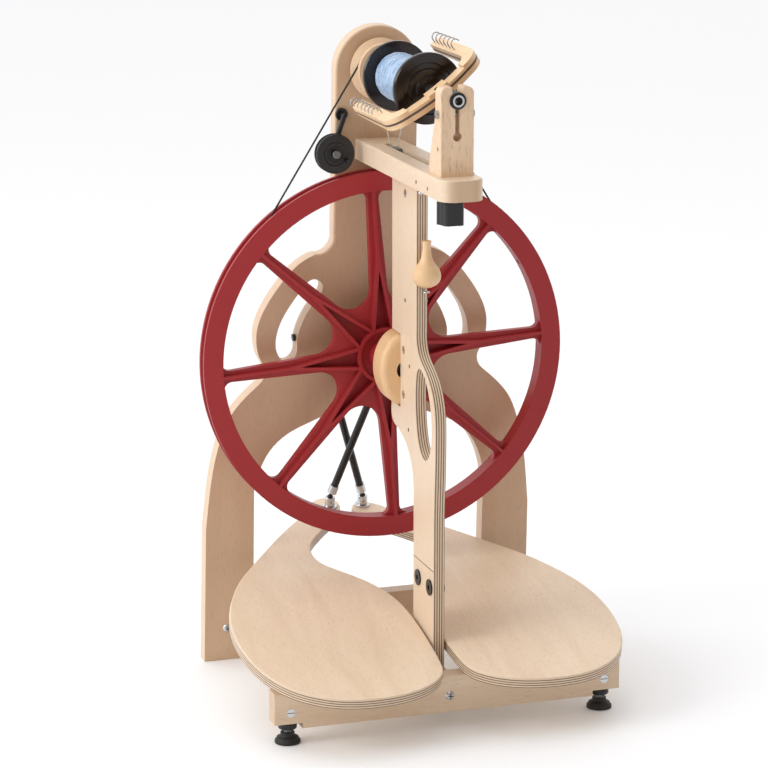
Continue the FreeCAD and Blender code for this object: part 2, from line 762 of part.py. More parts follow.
def make_axle():
    """Steel axle from the hub block to the crank bar, with its spacer."""
    rear = crank_front_y + crank_t
    shaft = ycyl(axle_r, 0, axle_z, front_bearing_y - 8, rear - 1)
    hub_front = wheel_y - hub_half
    spacer = ycyl(spacer_r, 0, axle_z, front_bearing_y + bearing_w / 2 + seat_gap, hub_front)
    hub_rear = wheel_y + hub_half
    collar = ycyl(spacer_r, 0, axle_z, hub_rear, rear_bush_front_y - seat_gap)
    return fuse([shaft, spacer, collar])


def pin_point(side):
    """Centre of a crank pin at rest; side +1 carries the left footman."""
    a = math.radians(crank_rest)
    return side * crank_throw * math.cos(a), axle_z + side * crank_throw * math.sin(a)


def make_crank():
    """Two-ended crank bar clamped on the axle behind the board."""
    y0 = crank_front_y
    half = crank_w / 2
    bar = box(-crank_throw, crank_throw, y0, y0 + crank_t, axle_z - half, axle_z + half)
    parts = [bar]
    for side in (-1, 1):
        parts.append(ycyl(half, side * crank_throw, axle_z, y0, y0 + crank_t))
    bar = fuse(parts)
    bar.rotate(V(0, 0, axle_z), Y_AXIS, -crank_rest)
    return bar.cut(ycyl(axle_r, 0, axle_z, y0 - 1, y0 + crank_t - 1))


def make_crank_bolt():
    """Bolt head and washer in the end of the axle."""
    y1 = crank_front_y + crank_t
    return fuse([ycyl(7.0, 0, axle_z, y1, y1 + 1.4), ycyl(5.0, 0, axle_z, y1 + 1.4, y1 + 4.8)])


def make_band():
    """Drive band: two straight runs and two arcs in the grooves."""
    big = groove_r + band_r + seat_gap
    small = whorl_groove_r + band_r + seat_gap
    gap = flyer_z - axle_z
    phi = math.acos((big - small) / gap)
    pieces = []
    for side in (-1, 1):
        a = (side * big * math.sin(phi), wheel_y, axle_z + big * math.cos(phi))
        b = (side * small * math.sin(phi), wheel_y, flyer_z + small * math.cos(phi))
        pieces.append(rod_between(a, b, band_r))
    deg = math.degrees(phi)
    low = Part.makeTorus(big, band_r, V(0, 0, 0), Z_AXIS, -180, 180, 360 - 2 * deg)
    low.rotate(V(0, 0, 0), X_AXIS, 90)
    low.rotate(V(0, 0, 0), Y_AXIS, -(90 + deg))
    low.translate(V(0, wheel_y, axle_z))
    top = Part.makeTorus(small, band_r, V(0, 0, 0), Z_AXIS, -180, 180, 2 * deg)
    top.rotate(V(0, 0, 0), X_AXIS, 90)
    top.rotate(V(0, 0, 0), Y_AXIS, -(90 - deg))
    top.translate(V(0, wheel_y, flyer_z))
    return fuse(pieces + [low, top])


def make_moa():
    """Beam from the board to the front maiden, with a slot for the brake."""
    rear = board_y(moa_low) + 20
    beam = box(-moa_half, moa_half, moa_front_y, rear, moa_low, moa_high)
    beam = round_edges(beam, moa_corner_r,
                       lambda e: e.BoundBox.ZLength > 5 and e.BoundBox.YMax < moa_front_y + 1)
    beam = beam.cut(lean(box(-60, 60, 0, 80, moa_low - 80, moa_high + 80)))
    beam = round_edges(beam, moa_round,
                       lambda e: e.BoundBox.ZLength < 0.1 and e.BoundBox.ZMin > moa_high - 0.1
                       and e.BoundBox.YMin < -60)
    slot = box(-slot_half, slot_half, slot_front_y, slot_rear_y, slot_floor, moa_high + 5)
    slot = round_edges(slot, 4.0, lambda e: e.BoundBox.ZLength > 5)
    beam = beam.cut(slot)
    for y, z in side_holes:
        beam = beam.cut(cyl(side_hole_r, 12, (-moa_half - 1, y, z), X_AXIS))
    beam = beam.cut(cyl(moa_bolt_r + screw_gap, 60, (0, moa_nut[0], moa_low - 2)))
    beam = beam.cut(cyl(stud_r + run_gap, 60, (0, stud_y, moa_low - 2)))
    beam = beam.cut(lean(ycyl(moa_bolt_r + screw_gap, 0, moa_bolt_z, -32, 5)))
    return beam


def make_moa_bolts():
    """Bolt down into the post, and one from behind the board."""
    top = slot_floor + 2.2
    down = fuse([cyl(moa_bolt_r, top - moa_nut[1] + 6, (0, moa_nut[0], moa_nut[1] - 6)),
                 cyl(4.7, 2.2, (0, moa_nut[0], slot_floor))])
    head = ycyl(6.5, 0, moa_bolt_z, board_t, board_t + 3)
    back = lean(fuse([ycyl(moa_bolt_r, 0, moa_bolt_z, -30, board_t), head]))
    return group([down, back])


def make_brake_bar():
    """Grey bar across the slot that the brake line is tied to."""
    bar = box(-slot_half + seat_gap, slot_half - seat_gap, -110.0, -92.0, slot_floor, moa_high - 1.0)
    return bar


def make_brake_spring():
    """Spring barrel lying in the slot."""
    z = slot_floor + 4.6
    barrel = ycyl(4.4, 0, z, -206.0, -158.0)
    neck = ycyl(1.4, 0, z, -158.0, -110.0)
    knob = ycyl(2.4, 0, z, -214.0, -206.0)
    return fuse([barrel, neck, knob])


def make_brake_cord():
    """Brake line: up from the bar, over the bobbin's groove and back down."""
    r = brake_groove_r + cord_r + seat_gap
    foot_half = 3.6
    foot_z = moa_high - 1.0
    gap = flyer_z - foot_z
    d = math.hypot(foot_half, gap)
    ang = math.atan2(gap, -foot_half) - math.asin(r / d)
    run = math.sqrt(d * d - r * r)
    pieces = []
    tx = foot_half + run * math.cos(ang)
    tz = foot_z + run * math.sin(ang)
    for side in (-1, 1):
        pieces.append(rod_between((side * foot_half, brake_y, foot_z), (side * tx, brake_y, tz), cord_r))
    start = math.degrees(math.atan2(tz - flyer_z, tx))
    sweep = 180 - 2 * start
    arc = Part.makeTorus(r, cord_r, V(0, 0, 0), Z_AXIS, -180, 180, sweep)
    arc.rotate(V(0, 0, 0), X_AXIS, 90)
    arc.rotate(V(0, 0, 0), Y_AXIS, -start)
    arc.translate(V(0, brake_y, flyer_z))
    return fuse(pieces + [arc])


def make_peg():
    """Small chrome peg in the post's front edge."""
    face = post_top_front_y
    ball = Part.makeSphere(peg_head_r, V(peg_x, face - 5.5, peg_z))
    return fuse([ycyl(peg_r, peg_x, peg_z, face - 5, face + 8), ball])


def about_flyer(shape):
    """Turn a flyer piece, drawn flat, to its rest roll and lift it to the axis."""
    out = shape.copy()
    out.rotate(V(0, 0, 0), Y_AXIS, -flyer_roll)
    out.translate(V(0, 0, flyer_z))
    return out


def make_flyer_bush():
    """Bush for the flyer's rear end in the back board."""
    y1 = board_y(flyer_z, board_t) + 1.5
    y0 = board_y(flyer_z) - 2.5
    return tube(flyer_bush_r, shaft_r + run_gap, 0, flyer_z, y0, y1)


def make_flyer_shaft():
    """Steel spindle from the rear bush to the flyer's nose."""
    return ycyl(shaft_r, 0, flyer_z, board_y(flyer_z, board_t) - 2, nose_y + nose_depth)


def make_whorl():
    """Wooden whorl with one band groove between a large and a small flange."""
    g = whorl_groove_w / 2
    y_rear = wheel_y + g + whorl_flange_t
    y_front = wheel_y - g - whorl_flange_t
    pts = [(shaft_r, y_rear), (whorl_rear_r - 1.5, y_rear), (whorl_rear_r, y_rear - 1.5),
           (whorl_rear_r, y_rear - 3.5), (whorl_groove_r, wheel_y + 1.6), (whorl_groove_r, wheel_y - 1.6),
           (whorl_front_r, y_front + 3.0), (whorl_front_r, y_front + 1.2), (whorl_front_r - 1.2, y_front),
           (whorl_hub_r, y_front), (whorl_hub_r, whorl_front_y), (shaft_r, whorl_front_y)]
    whorl = Part.Face(poly([(r, y, 0) for r, y in pts])).revolve(V(0, 0, 0), Y_AXIS, 360)
    whorl.translate(V(0, 0, flyer_z))
    return whorl


def make_flyer():
    """Bent wooden U, stepped along the yoke and thinner towards its tips."""
    out_x = arm_r + arm_t / 2
    in_x = arm_r - arm_t / 2
    low = -arm_w / 2
    rear = nose_y + nose_depth
    outside = bow(out_x, arm_bend_y, nose_y, low)
    inside = bow(in_x, arm_bend_y, rear, low)
    edges = outside + inside
    for side in (-1, 1):
        tip_pts = [(side * out_x, arm_bend_y, low), (side * out_x, arm_tip_y - tip_corner, low),
                   (side * (out_x - tip_corner), arm_tip_y, low), (side * in_x, arm_tip_y, low),
                   (side * in_x, arm_bend_y, low)]
        edges += [Part.makeLine(V(*a), V(*b)) for a, b in zip(tip_pts, tip_pts[1:])]
    frame = prism(Part.Wire(Part.__sortEdges__(edges)), V(0, 0, arm_w))
    for side in (-1, 1):
        x0, x1 = sorted((side * nose_half, side * nose_step_end))
        frame = frame.cut(box(x0, x1, nose_y - 1, arm_bend_y, arm_w / 2 - nose_step, arm_w))
    taper = prism(poly([(-out_x - 1, arm_bend_y, low - 0.01), (-out_x - 1, arm_tip_y + 1, low - 0.01),
                        (-out_x - 1, arm_tip_y + 1, low + arm_w - arm_tip_w)]), V(2 * out_x + 2, 0, 0))
    frame = frame.cut(taper)
    frame = frame.cut(ycyl(shaft_r, 0, 0, nose_y - 1, rear + 1))
    frame = frame.cut(ycyl(orifice_r + 1.0, 0, 0, nose_y - 1, nose_y + 8))
    return about_flyer(frame)


def bow(half, y_side, y_mid, z):
    """Two round corners joined by a shallow arc across the yoke."""
    corner = 0.62 * half
    y_corner = y_mid + 0.22 * (y_side - y_mid)
    knee = V(half - 0.09 * half, y_side + 0.62 * (y_corner - y_side), z)
    edges = [Part.Arc(V(corner, y_corner, z), V(0, y_mid, z), V(-corner, y_corner, z)).toShape()]
    for side in (-1, 1):
        arc = Part.Arc(V(side * half, y_side, z), V(side * knee.x, knee.y, z), V(side * corner, y_corner, z))
        edges.append(arc.toShape())
    return edges


def hook_spots():
    """Each hook's arm, side +1 or -1, and its y; the right arm has one less."""
    spots = []
    for side in (-1, 1):
        count = hook_n if side < 0 else hook_n - 1
        spots += [(side, arm_tip_y - hook_first - hook_pitch * k) for k in range(count)]
    return spots


def make_hooks():
    """Rows of open wire hooks on one face of each arm, curled outwards."""
    top = arm_w / 2
    hooks = []
    for side, y in hook_spots():
        x = side * (arm_r - hook_r / 2)
        stem = cyl(hook_wire_r, hook_stem + hook_seat, (x, y, top - hook_seat))
        curl = Part.makeTorus(hook_r, hook_wire_r, V(0, 0, 0), Z_AXIS, -180, 180, hook_sweep)
        curl.rotate(V(0, 0, 0), X_AXIS, 90)
        curl.rotate(V(0, 0, 0), Y_AXIS, hook_sweep - 180)
        curl.translate(V(-hook_r, 0, 0))
        if side > 0:
            curl = mirror_x(curl)
        curl.translate(V(x, y, top + hook_stem))
        hooks.append(about_flyer(fuse([stem, curl])))
    return group(hooks)


def make_hook_holes(frame):
    """Seats for the hooks' stems."""
    top = arm_w / 2
    for side, y in hook_spots():
        x = side * (arm_r - hook_r / 2)
        frame = frame.cut(about_flyer(cyl(hook_wire_r, hook_seat + 1.0, (x, y, top - hook_seat))))
    return frame


def make_orifice():
    """Hollow end of the spindle, running in the maiden."""
    y0 = maiden_front_y - 3.5
    y1 = nose_y + 8
    tube_part = ycyl(orifice_r, 0, flyer_z, y0, y1)
    collar = ycyl(orifice_r + 1.0, 0, flyer_z, nose_y, y1)
    bore = ycyl(orifice_in_r, 0, flyer_z, y0 - 1, y1 - 3)
    side = cyl(orifice_in_r - 1.0, 20, (0, nose_y - 14, flyer_z))
    return fuse([tube_part, collar]).cut(bore).cut(side)


def make_bobbin():
    """Bobbin: two discs on a core, with the brake groove behind."""
    t = bobbin_disc_t
    bore = shaft_r + run_gap
    rear = bobbin_rear_y
    front = bobbin_front_y
    y_groove = brake_y + brake_groove_w / 2
    pts = [(bore, y_groove + brake_flange_t), (brake_flange_r, y_groove + brake_flange_t),
           (brake_flange_r, y_groove), (brake_groove_r, y_groove),
           (brake_groove_r, y_groove - brake_groove_w), (brake_flange_r, y_groove - brake_groove_w),
           (brake_flange_r, rear + t), (bobbin_r - 1.5, rear + t),
           (bobbin_r, rear + t - 1.5), (bobbin_r, rear + 1.0), (bobbin_r - 1.0, rear), (bobbin_core_r, rear),
           (bobbin_core_r, front + t), (bobbin_r - 1.0, front + t), (bobbin_r, front + t - 1.0),
           (bobbin_r, front + 1.5), (bobbin_r - 1.5, front), (27.0, front), (26.0, front + 1.6),
           (21.0, front + 1.6),
           (20.0, front - 0.8), (13.5, front - 0.8), (12.5, front - 3.2), (bore, front - 4.0)]
    bobbin = Part.Face(poly([(r, y, 0) for r, y in pts])).revolve(V(0, 0, 0), Y_AXIS, 360)
    bobbin.translate(V(0, 0, flyer_z))
    return bobbin


def make_yarn():
    """Wound yarn on the bobbin's core."""
    y0 = bobbin_front_y + bobbin_disc_t
    y1 = bobbin_rear_y
    pts = [(bobbin_core_r, y0), (yarn_r - 1.0, y0), (yarn_r, y0 + 8), (yarn_r, y1 - 8), (yarn_r - 1.0, y1),
           (bobbin_core_r, y1)]
    yarn = Part.Face(poly([(r, y, 0) for r, y in pts])).revolve(V(0, 0, 0), Y_AXIS, 360)
    yarn.translate(V(0, 0, flyer_z))
    return yarn


def make_maiden():
    """Front maiden: hollow-backed block, split by a keyhole slot."""
    f = maiden_front_y
    rear = f + maiden_base
    top_rear = f + maiden_top_t
    curve = [(-maiden_half, rear - step, flyer_z + dz) for step, dz in maiden_curve]
    back = spline([(-maiden_half, rear, moa_high)] + curve + [(-maiden_half, top_rear, maiden_curve_top)])
    edges = [back,
             Part.makeLine(V(-maiden_half, top_rear, maiden_curve_top), V(-maiden_half, top_rear, maiden_top)),
             Part.makeLine(V(-maiden_half, top_rear, maiden_top), V(-maiden_half, f, maiden_top)),
             Part.makeLine(V(-maiden_half, f, maiden_top), V(-maiden_half, f, moa_high)),
             Part.makeLine(V(-maiden_half, f, moa_high), V(-maiden_half, rear, moa_high))]
    block = prism(Part.Wire(Part.__sortEdges__(edges)), V(2 * maiden_half, 0, 0))
    block = round_edges(block, 7.0, lambda e: e.BoundBox.YLength > 10 and e.BoundBox.ZMin > maiden_top - 0.1)
    block = round_edges(block, 1.2, lambda e: e.BoundBox.YMax < f + 0.01 and e.BoundBox.ZLength > 20)
    block = block.cut(ycyl(maiden_bore_r, 0, flyer_z, f - 1, rear + 1))
    block = block.cut(ycyl(keyhole_r, 0, keyhole_z, f - 1, rear + 1))
    block = block.cut(box(-keyslot_half, keyslot_half, f - 1, rear + 1, keyhole_z, flyer_z))
    notch = prism(poly([(-4.0, f - 1, flyer_z), (4.0, f - 1, flyer_z), (6.5, f - 1, maiden_top + 1),
                        (-6.5, f - 1, maiden_top + 1)]), V(0, maiden_base + 2, 0))
    block = block.cut(notch)
    block = block.cut(cyl(clamp_bolt_r + screw_gap, 60, (-30, clamp_y, clamp_bolt_z), X_AXIS))
    block = block.cut(cyl(stud_r, 16, (0, stud_y, moa_high - 1)))
    block = block.cut(cyl(side_hole_r, 5, (-maiden_half - 1, f + 9.0, maiden_hole_z), X_AXIS))
    return block



def make_maiden_bearing():
    """Black bearing ring round the orifice."""
    front = maiden_front_y - 1.5
    return tube(maiden_bore_r, orifice_r + run_gap, 0, flyer_z, front, maiden_front_y + maiden_top_t)


def make_clamp_bolt():
    """Cross bolt that closes the maiden's split."""
    x = maiden_half
    shank = cyl(clamp_bolt_r, 2 * x, (-x, clamp_y, clamp_bolt_z), X_AXIS)
    head = cyl(4.2, 2.4, (-x - 2.4, clamp_y, clamp_bolt_z), X_AXIS)
    nut = cyl(4.2, 2.4, (x, clamp_y, clamp_bolt_z), X_AXIS)
    return fuse([shank, head, nut])


def make_stud():
    """Stud fixed in the maiden, down through the beam to the clamp knob."""
    low = knob_low + 12
    return cyl(stud_r, moa_high + 14 - low, (0, stud_y, low))


def make_knob():
    """Black lobed clamp knob under the beam."""
    high = moa_low - seat_gap
    body = cyl(knob_r - 2.0, high - knob_low, (0, stud_y, knob_low))
    lobes = [body]
    for k in range(5):
        a = math.radians(72 * k + 18)
        reach = knob_r - knob_lobe_r
        centre = (math.cos(a) * reach, stud_y + math.sin(a) * reach, knob_low)
        lobes.append(cyl(knob_lobe_r, high - knob_low - 6.0, centre))
    knob = fuse(lobes)
    return knob.cut(cyl(stud_r + run_gap, 40, (0, stud_y, knob_low + 12)))


def make_boss():
    """Black flange on the board; the bent rod turns in it."""
    ring = ycyl(boss_r, boss_x, boss_hole_z, -boss_t, 0)
    ring = lean(round_edges(ring, 0.8, lambda e: e.BoundBox.YMax < -boss_t + 0.1 and e.Length > 30))
    return ring.cut(ycyl(tens_rod_r + run_gap, boss_x, boss_z, -60, 0))


def make_tens_arm():
    """Bent rod: out of the board, down, then forward as the pulley's axle."""
    face = board_y(boss_z)
    front = wheel_y - pulley_w / 2 - 3.0
    pieces = [ycyl(tens_rod_r - run_gap, boss_x, boss_z, tens_bend_y, face + 9.0),
              Part.makeSphere(tens_rod_r - run_gap, V(boss_x, tens_bend_y, boss_z)),
              rod_between((boss_x, tens_bend_y, boss_z), (tens_x, tens_bend_y, tens_z), tens_rod_r - run_gap),
              Part.makeSphere(tens_rod_r - run_gap, V(tens_x, tens_bend_y, tens_z)),
              ycyl(tens_rod_r - run_gap, tens_x, tens_z, front, tens_bend_y)]
    return fuse(pieces)


def make_pulley():
    """Grooved tension pulley with a small finger peg."""
    y0 = wheel_y - pulley_w / 2
    y1 = wheel_y + pulley_w / 2
    pts = [(pulley_bore_r, y0 + 1.0), (12.0, y0 + 1.0), (13.0, y0), (pulley_r - 0.8, y0), (pulley_r, y0 + 0.8),
           (pulley_r, y0 + 2.0), (pulley_groove_r, wheel_y - 1.0), (pulley_groove_r, wheel_y + 1.0),
           (pulley_r, y1 - 2.0), (pulley_r, y1 - 0.8), (pulley_r - 0.8, y1), (pulley_bore_r, y1)]
    pulley = Part.Face(poly([(r, y, 0) for r, y in pts])).revolve(V(0, 0, 0), Y_AXIS, 360)
    cone = Part.makeCone(3.0, 1.6, 8.0, V(12.0, y0 + 1.5, -7.0), V(0, -1, 0))
    pulley = fuse([pulley, cone])
    pulley.translate(V(tens_x, 0, tens_z))
    return pulley


def make_pulley_bearing():
    """Bearing ring in the pulley."""
    y0 = wheel_y - pulley_w / 2 + 1.5
    return tube(pulley_bore_r, tens_rod_r, tens_x, tens_z, y0, y0 + 6.0)


def make_pulley_nut():
    """Dark cap nut on the pulley's axle."""
    y1 = wheel_y - pulley_w / 2 + 1.5 - seat_gap
    nut = ycyl(pulley_nut_r, tens_x, tens_z, y1 - 6.0, y1)
    nut = round_edges(nut, 1.2, lambda e: e.BoundBox.YMax < y1 - 5.9)
    return nut.cut(ycyl(tens_rod_r - run_gap, tens_x, tens_z, wheel_y - pulley_w / 2 - 3.0, y1 + 1))


def make_pear():
    """Turned handle of the threading hook."""
    z0 = hook_low
    side = spline([(0, 0, z0), (8.0, 0, z0 + 1.4), (13.6, 0, z0 + 6.5), (pear_r, 0, z0 + 12.0),
                   (13.2, 0, z0 + 19.0), (7.6, 0, z0 + 27.0), (5.2, 0, z0 + 34.0), (5.0, 0, hook_high)])
    edges = [side, Part.makeLine(V(5.0, 0, hook_high), V(0, 0, hook_high)),
             Part.makeLine(V(0, 0, hook_high), V(0, 0, z0))]
    pear = Part.Face(Part.Wire(Part.__sortEdges__(edges))).revolve(V(0, 0, 0), Z_AXIS, 360)
    pear = pear.cut(box(-10, 10, -1.0, 1.0, hook_high - 2.0, hook_high + 1))
    pear.translate(V(0, hook_y, 0))
    return pear.cut(cyl(hook_wire, 12, (hook_wire_x, hook_y, hook_low - 1)))


def make_hook_wire():
    """Wire of the threading hook, down through the screw eye."""
    stem = cyl(hook_wire, hook_low + 8 - hook_wire_low, (hook_wire_x, hook_y, hook_wire_low))
    bend = Part.makeTorus(hook_bend_r, hook_wire, V(0, 0, 0), Z_AXIS, -180, 180, 180)
    bend.rotate(V(0, 0, 0), X_AXIS, 90)
    bend.rotate(V(0, 0, 0), Y_AXIS, 180)
    bend.translate(V(hook_wire_x + hook_bend_r, hook_y, hook_wire_low))
    return fuse([stem, bend])


def make_screw_eye():
    """Screw eye in the post's edge; the hook's wire drops through it."""
    ring = Part.makeTorus(eye_ring_r, eye_wire_r, V(0, hook_y, eye_z), Z_AXIS)
    shank = ycyl(eye_wire_r, 0, eye_z, hook_y + eye_ring_r, post_top_front_y + 8)
    return fuse([ring, shank])


def make_storage_peg():
    """Black washer and screw on the wall of the left hand slot."""
    y = board_t / 2
    a = (-86.4, y, 366.0)
    axis = V(-1, 0, -0.1)
    washer = Part.makeCylinder(4.0, 3.0, V(*a), axis)
    screw = Part.makeCylinder(2.0, 7.0, V(*a) + V(5.0, 0, 0.5), axis)
    return lean(fuse([washer, screw]))


def slope_of(side):
    """Rest slope in degrees; the left treadle is the high one."""
    return treadle_slope - side * treadle_split


def tip(shape, side):
    """Tip a treadle piece, drawn level, about its hinge to its rest slope."""
    out = shape.copy()
    out.rotate(V(0, pivot_y, pivot_z), X_AXIS, slope_of(side))
    return out


def flat_y(y):
    """Length along the board for a plan length from the hinge."""
    return pivot_y + (y - pivot_y) / math.cos(math.radians(treadle_slope))


def make_treadle(side):
    """Plywood treadle with a neck that reaches through the arch."""
    pts = [(x, flat_y(y), treadle_under_z) for x, y in treadle_out + tip_end]
    board = prism(loop(pts), V(0, 0, treadle_t))
    board = round_edges(board, treadle_round, lambda e: e.Length > 100)
    board = board.cut(cyl(2.2, 40, (-tip_x, flat_y(tip_y(side)), treadle_under_z - 5)))
    if side > 0:
        board = mirror_x(board)
    return tip(board, side)


def make_lugs(side):
    """Hinge knuckles under one treadle."""
    lugs = []
    for x in hinge_xs:
        x = x if side < 0 else -x
        x0 = x - hinge_w / 2
        knuckle = cyl(hinge_r, hinge_w, (x0, pivot_y, pivot_z), X_AXIS)
        leaf = box(x0, x0 + hinge_w, pivot_y - 2.4, pivot_y + 16, pivot_z + 1.0, treadle_under_z)
        lug = fuse([knuckle, leaf]).cut(cyl(hinge_pin_r + run_gap, 40, (x0 - 10, pivot_y, pivot_z), X_AXIS))
        lugs.append(tip(lug, side))
    return group(lugs)


def make_hinges():
    """Cheeks on the bar with the hinge pins through them."""
    hinges = []
    for x in hinge_xs + [-x for x in hinge_xs]:
        pieces = [cyl(hinge_pin_r, hinge_w + 2 * cheek_t, (x - hinge_w / 2 - cheek_t, pivot_y, pivot_z), X_AXIS)]
        for side in (-1, 1):
            x0 = x + side * (hinge_w / 2 + seat_gap)
            a, b = sorted((x0, x0 + side * (cheek_t - seat_gap)))
            pieces.append(box(a, b, pivot_y - 3, pivot_y + 3, bar_high, pivot_z + 1))
            pieces.append(cyl(2.6, b - a, (a, pivot_y, pivot_z), X_AXIS))
        hinges.append(fuse(pieces))
    return group(hinges)


def tip_y(side):
    """Plan y of a treadle's fitting; the left one stands further forward."""
    return tip_y_l if side < 0 else tip_y_r


def tip_point(side, up):
    """A point on the sleeve's axis, up above the treadle's top face."""
    shape = Part.Vertex(side * tip_x, flat_y(tip_y(side)), treadle_under_z + treadle_t + up)
    return tip(shape, side).Point


def make_tip_fitting(side):
    """Flange and sleeve on the treadle's end, with a cup for the link ball."""
    x = side * tip_x
    y = flat_y(tip_y(side))
    z = treadle_under_z + treadle_t
    flange = cyl(flange_r, flange_t, (x, y, z))
    flange = round_edges(flange, 0.8, lambda e: e.BoundBox.ZMin > z + 1)
    sleeve = cyl(sleeve_r, sleeve_l, (x, y, z))
    sleeve = round_edges(sleeve, 0.8, lambda e: e.BoundBox.ZMin > z + sleeve_l - 0.1)
    stub = cyl(2.2, treadle_t, (x, y, treadle_under_z))
    body = fuse([flange, sleeve, stub])
    body = body.cut(Part.makeSphere(ball_r + seat_gap, V(x, y, z + sleeve_l)))
    screw = cyl(1.6, 3.0, (x, y - sleeve_r - 1.6, z + 6.5), Y_AXIS)
    return tip(fuse([body, screw]), side)


def footman_ends(side):
    """Ball centre at the treadle and pin centre at the crank."""
    low = tip_point(side, sleeve_l)
    px, pz = pin_point(-side)
    y = footman_y_l if side < 0 else footman_y_r
    return low, V(px, y, pz)


def make_rod(side):
    """Black footman rod with the ball of its lower joint."""
    low, high = footman_ends(side)
    run = high - low
    unit = V(run.x, run.y, run.z)
    unit.normalize()
    rod = Part.makeCylinder(rod_r, run.Length - eye_r - ferrule_up, low + unit * ferrule_up, run)
    rod = rod.cut(ycyl(eye_r, high.x, high.z, high.y - 30, high.y + 30))
    neck = Part.makeCylinder(neck_r, ferrule_up + 1.0, low, run)
    return fuse([rod, neck, Part.makeSphere(ball_r, low, X_AXIS)])


def make_fittings(side):
    """Ferrules, eye and crank pin of one footman."""
    low, high = footman_ends(side)
    run = high - low
    unit = V(run.x, run.y, run.z)
    unit.normalize()
    hole = Part.makeCylinder(rod_r, run.Length, low, run)
    lower = Part.makeCylinder(ferrule_r, ferrule_l * 0.7, low + unit * ferrule_up, run)
    upper = Part.makeCylinder(ferrule_r, ferrule_l, high - unit * (eye_r + ferrule_l - 2.0), run)
    eye = ycyl(eye_r, high.x, high.z, high.y - eye_t / 2, high.y + eye_t / 2)
    boss = fuse([upper, eye])
    pin_front = crank_front_y + crank_t + pin_clear
    pin = ycyl(crank_pin_r, high.x, high.z, pin_front, high.y + eye_t / 2)
    head = ycyl(crank_pin_r + 2.0, high.x, high.z, high.y + eye_t / 2, high.y + eye_t / 2 + 3.0)
    washer = ycyl(crank_pin_r + 2.4, high.x, high.z, pin_front, pin_front + 1.6)
    top = fuse([boss, pin, head, washer])
    core = Part.makeCylinder(rod_r, run.Length - eye_r, low, run)
    core = core.cut(ycyl(eye_r, high.x, high.z, high.y - 30, high.y + 30))
    return group([lower.cut(hole), top.cut(core)])


def main():
    """Build every node and write it as STEP."""
    os.makedirs("parts", exist_ok=True)
    nodes = {
        "back_board": make_board(),
        "rear_cross_bar": make_cross_bar(),
        "dome_screws": group([make_leg_screws(), make_bar_screw()]),
        "front_bar": make_front_bar(),
        "barrel_nuts": group([make_foot_nuts(), make_post_nuts()]),
        "foot_stem_left": make_foot_stem(-1),
        "foot_stem_right": make_foot_stem(1),
        "foot_pad_left": make_foot_pad(-1),
        "foot_pad_right": make_foot_pad(1),
        "lower_post": make_lower_post(),
        "front_post": make_front_post(),
        "lap_bolts": make_lap_bolts(),
        "hub_block": make_hub_block(),
        "hub_block_bolts": make_block_bolts(),
        "front_bearing": make_front_bearing(),
        "rear_bearing": make_rear_bearing(),
        "drive_wheel": make_wheel(),
        "axle": make_axle(),
        "crank_bar": group([make_crank(), make_crank_bolt()]),
        "drive_band": make_band(),
        "mother_of_all": make_moa(),
        "moa_bolts": make_moa_bolts(),
        "brake_bar": make_brake_bar(),
        "brake_spring": make_brake_spring(),
        "brake_cord": make_brake_cord(),
        "post_peg": make_peg(),
        "flyer_bush": make_flyer_bush(),
        "flyer_shaft": make_flyer_shaft(),
        "flyer_whorl": make_whorl(),
        "flyer_arms": make_hook_holes(make_flyer()),
        "flyer_hooks": make_hooks(),
        "orifice": make_orifice(),
        "bobbin": make_bobbin(),
        "bobbin_yarn": make_yarn(),
        "front_maiden": make_maiden(),
        "maiden_bearing": make_maiden_bearing(),
        "maiden_bolt": make_clamp_bolt(),
        "maiden_stud": make_stud(),
        "clamp_knob": make_knob(),
        "tension_boss": make_boss(),
        "tension_arm": make_tens_arm(),
        "tension_pulley": make_pulley(),
        "tension_bearing": make_pulley_bearing(),
        "tension_nut": make_pulley_nut(),
        "threading_handle": make_pear(),
        "threading_wire": make_hook_wire(),
        "screw_eye": make_screw_eye(),
        "storage_peg": make_storage_peg(),
        "treadle_left": make_treadle(-1),
        "treadle_right": make_treadle(1),
        "treadle_hinges": make_hinges(),
    }
    for name, side in (("left", -1), ("right", 1)):
        nodes["treadle_lugs_" + name] = make_lugs(side)
        nodes["treadle_fitting_" + name] = make_tip_fitting(side)
        nodes["footman_rod_" + name] = make_rod(side)
    nodes["footman_fittings_left"] = make_fittings(-1)
    nodes["footman_fittings_right"] = make_fittings(1)
    for name, shape in nodes.items():
        shape.translate(V(0, frame_shift_y, 0))
        shape.exportStep("parts/" + name + ".step")


main()
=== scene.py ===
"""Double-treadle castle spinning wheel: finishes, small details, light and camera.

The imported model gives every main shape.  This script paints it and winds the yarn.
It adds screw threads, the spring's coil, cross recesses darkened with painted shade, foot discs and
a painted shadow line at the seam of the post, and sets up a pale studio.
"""
import json
import logging
import math
from dataclasses import dataclass
from enum import Enum

import bpy
from mathutils import Matrix, Vector

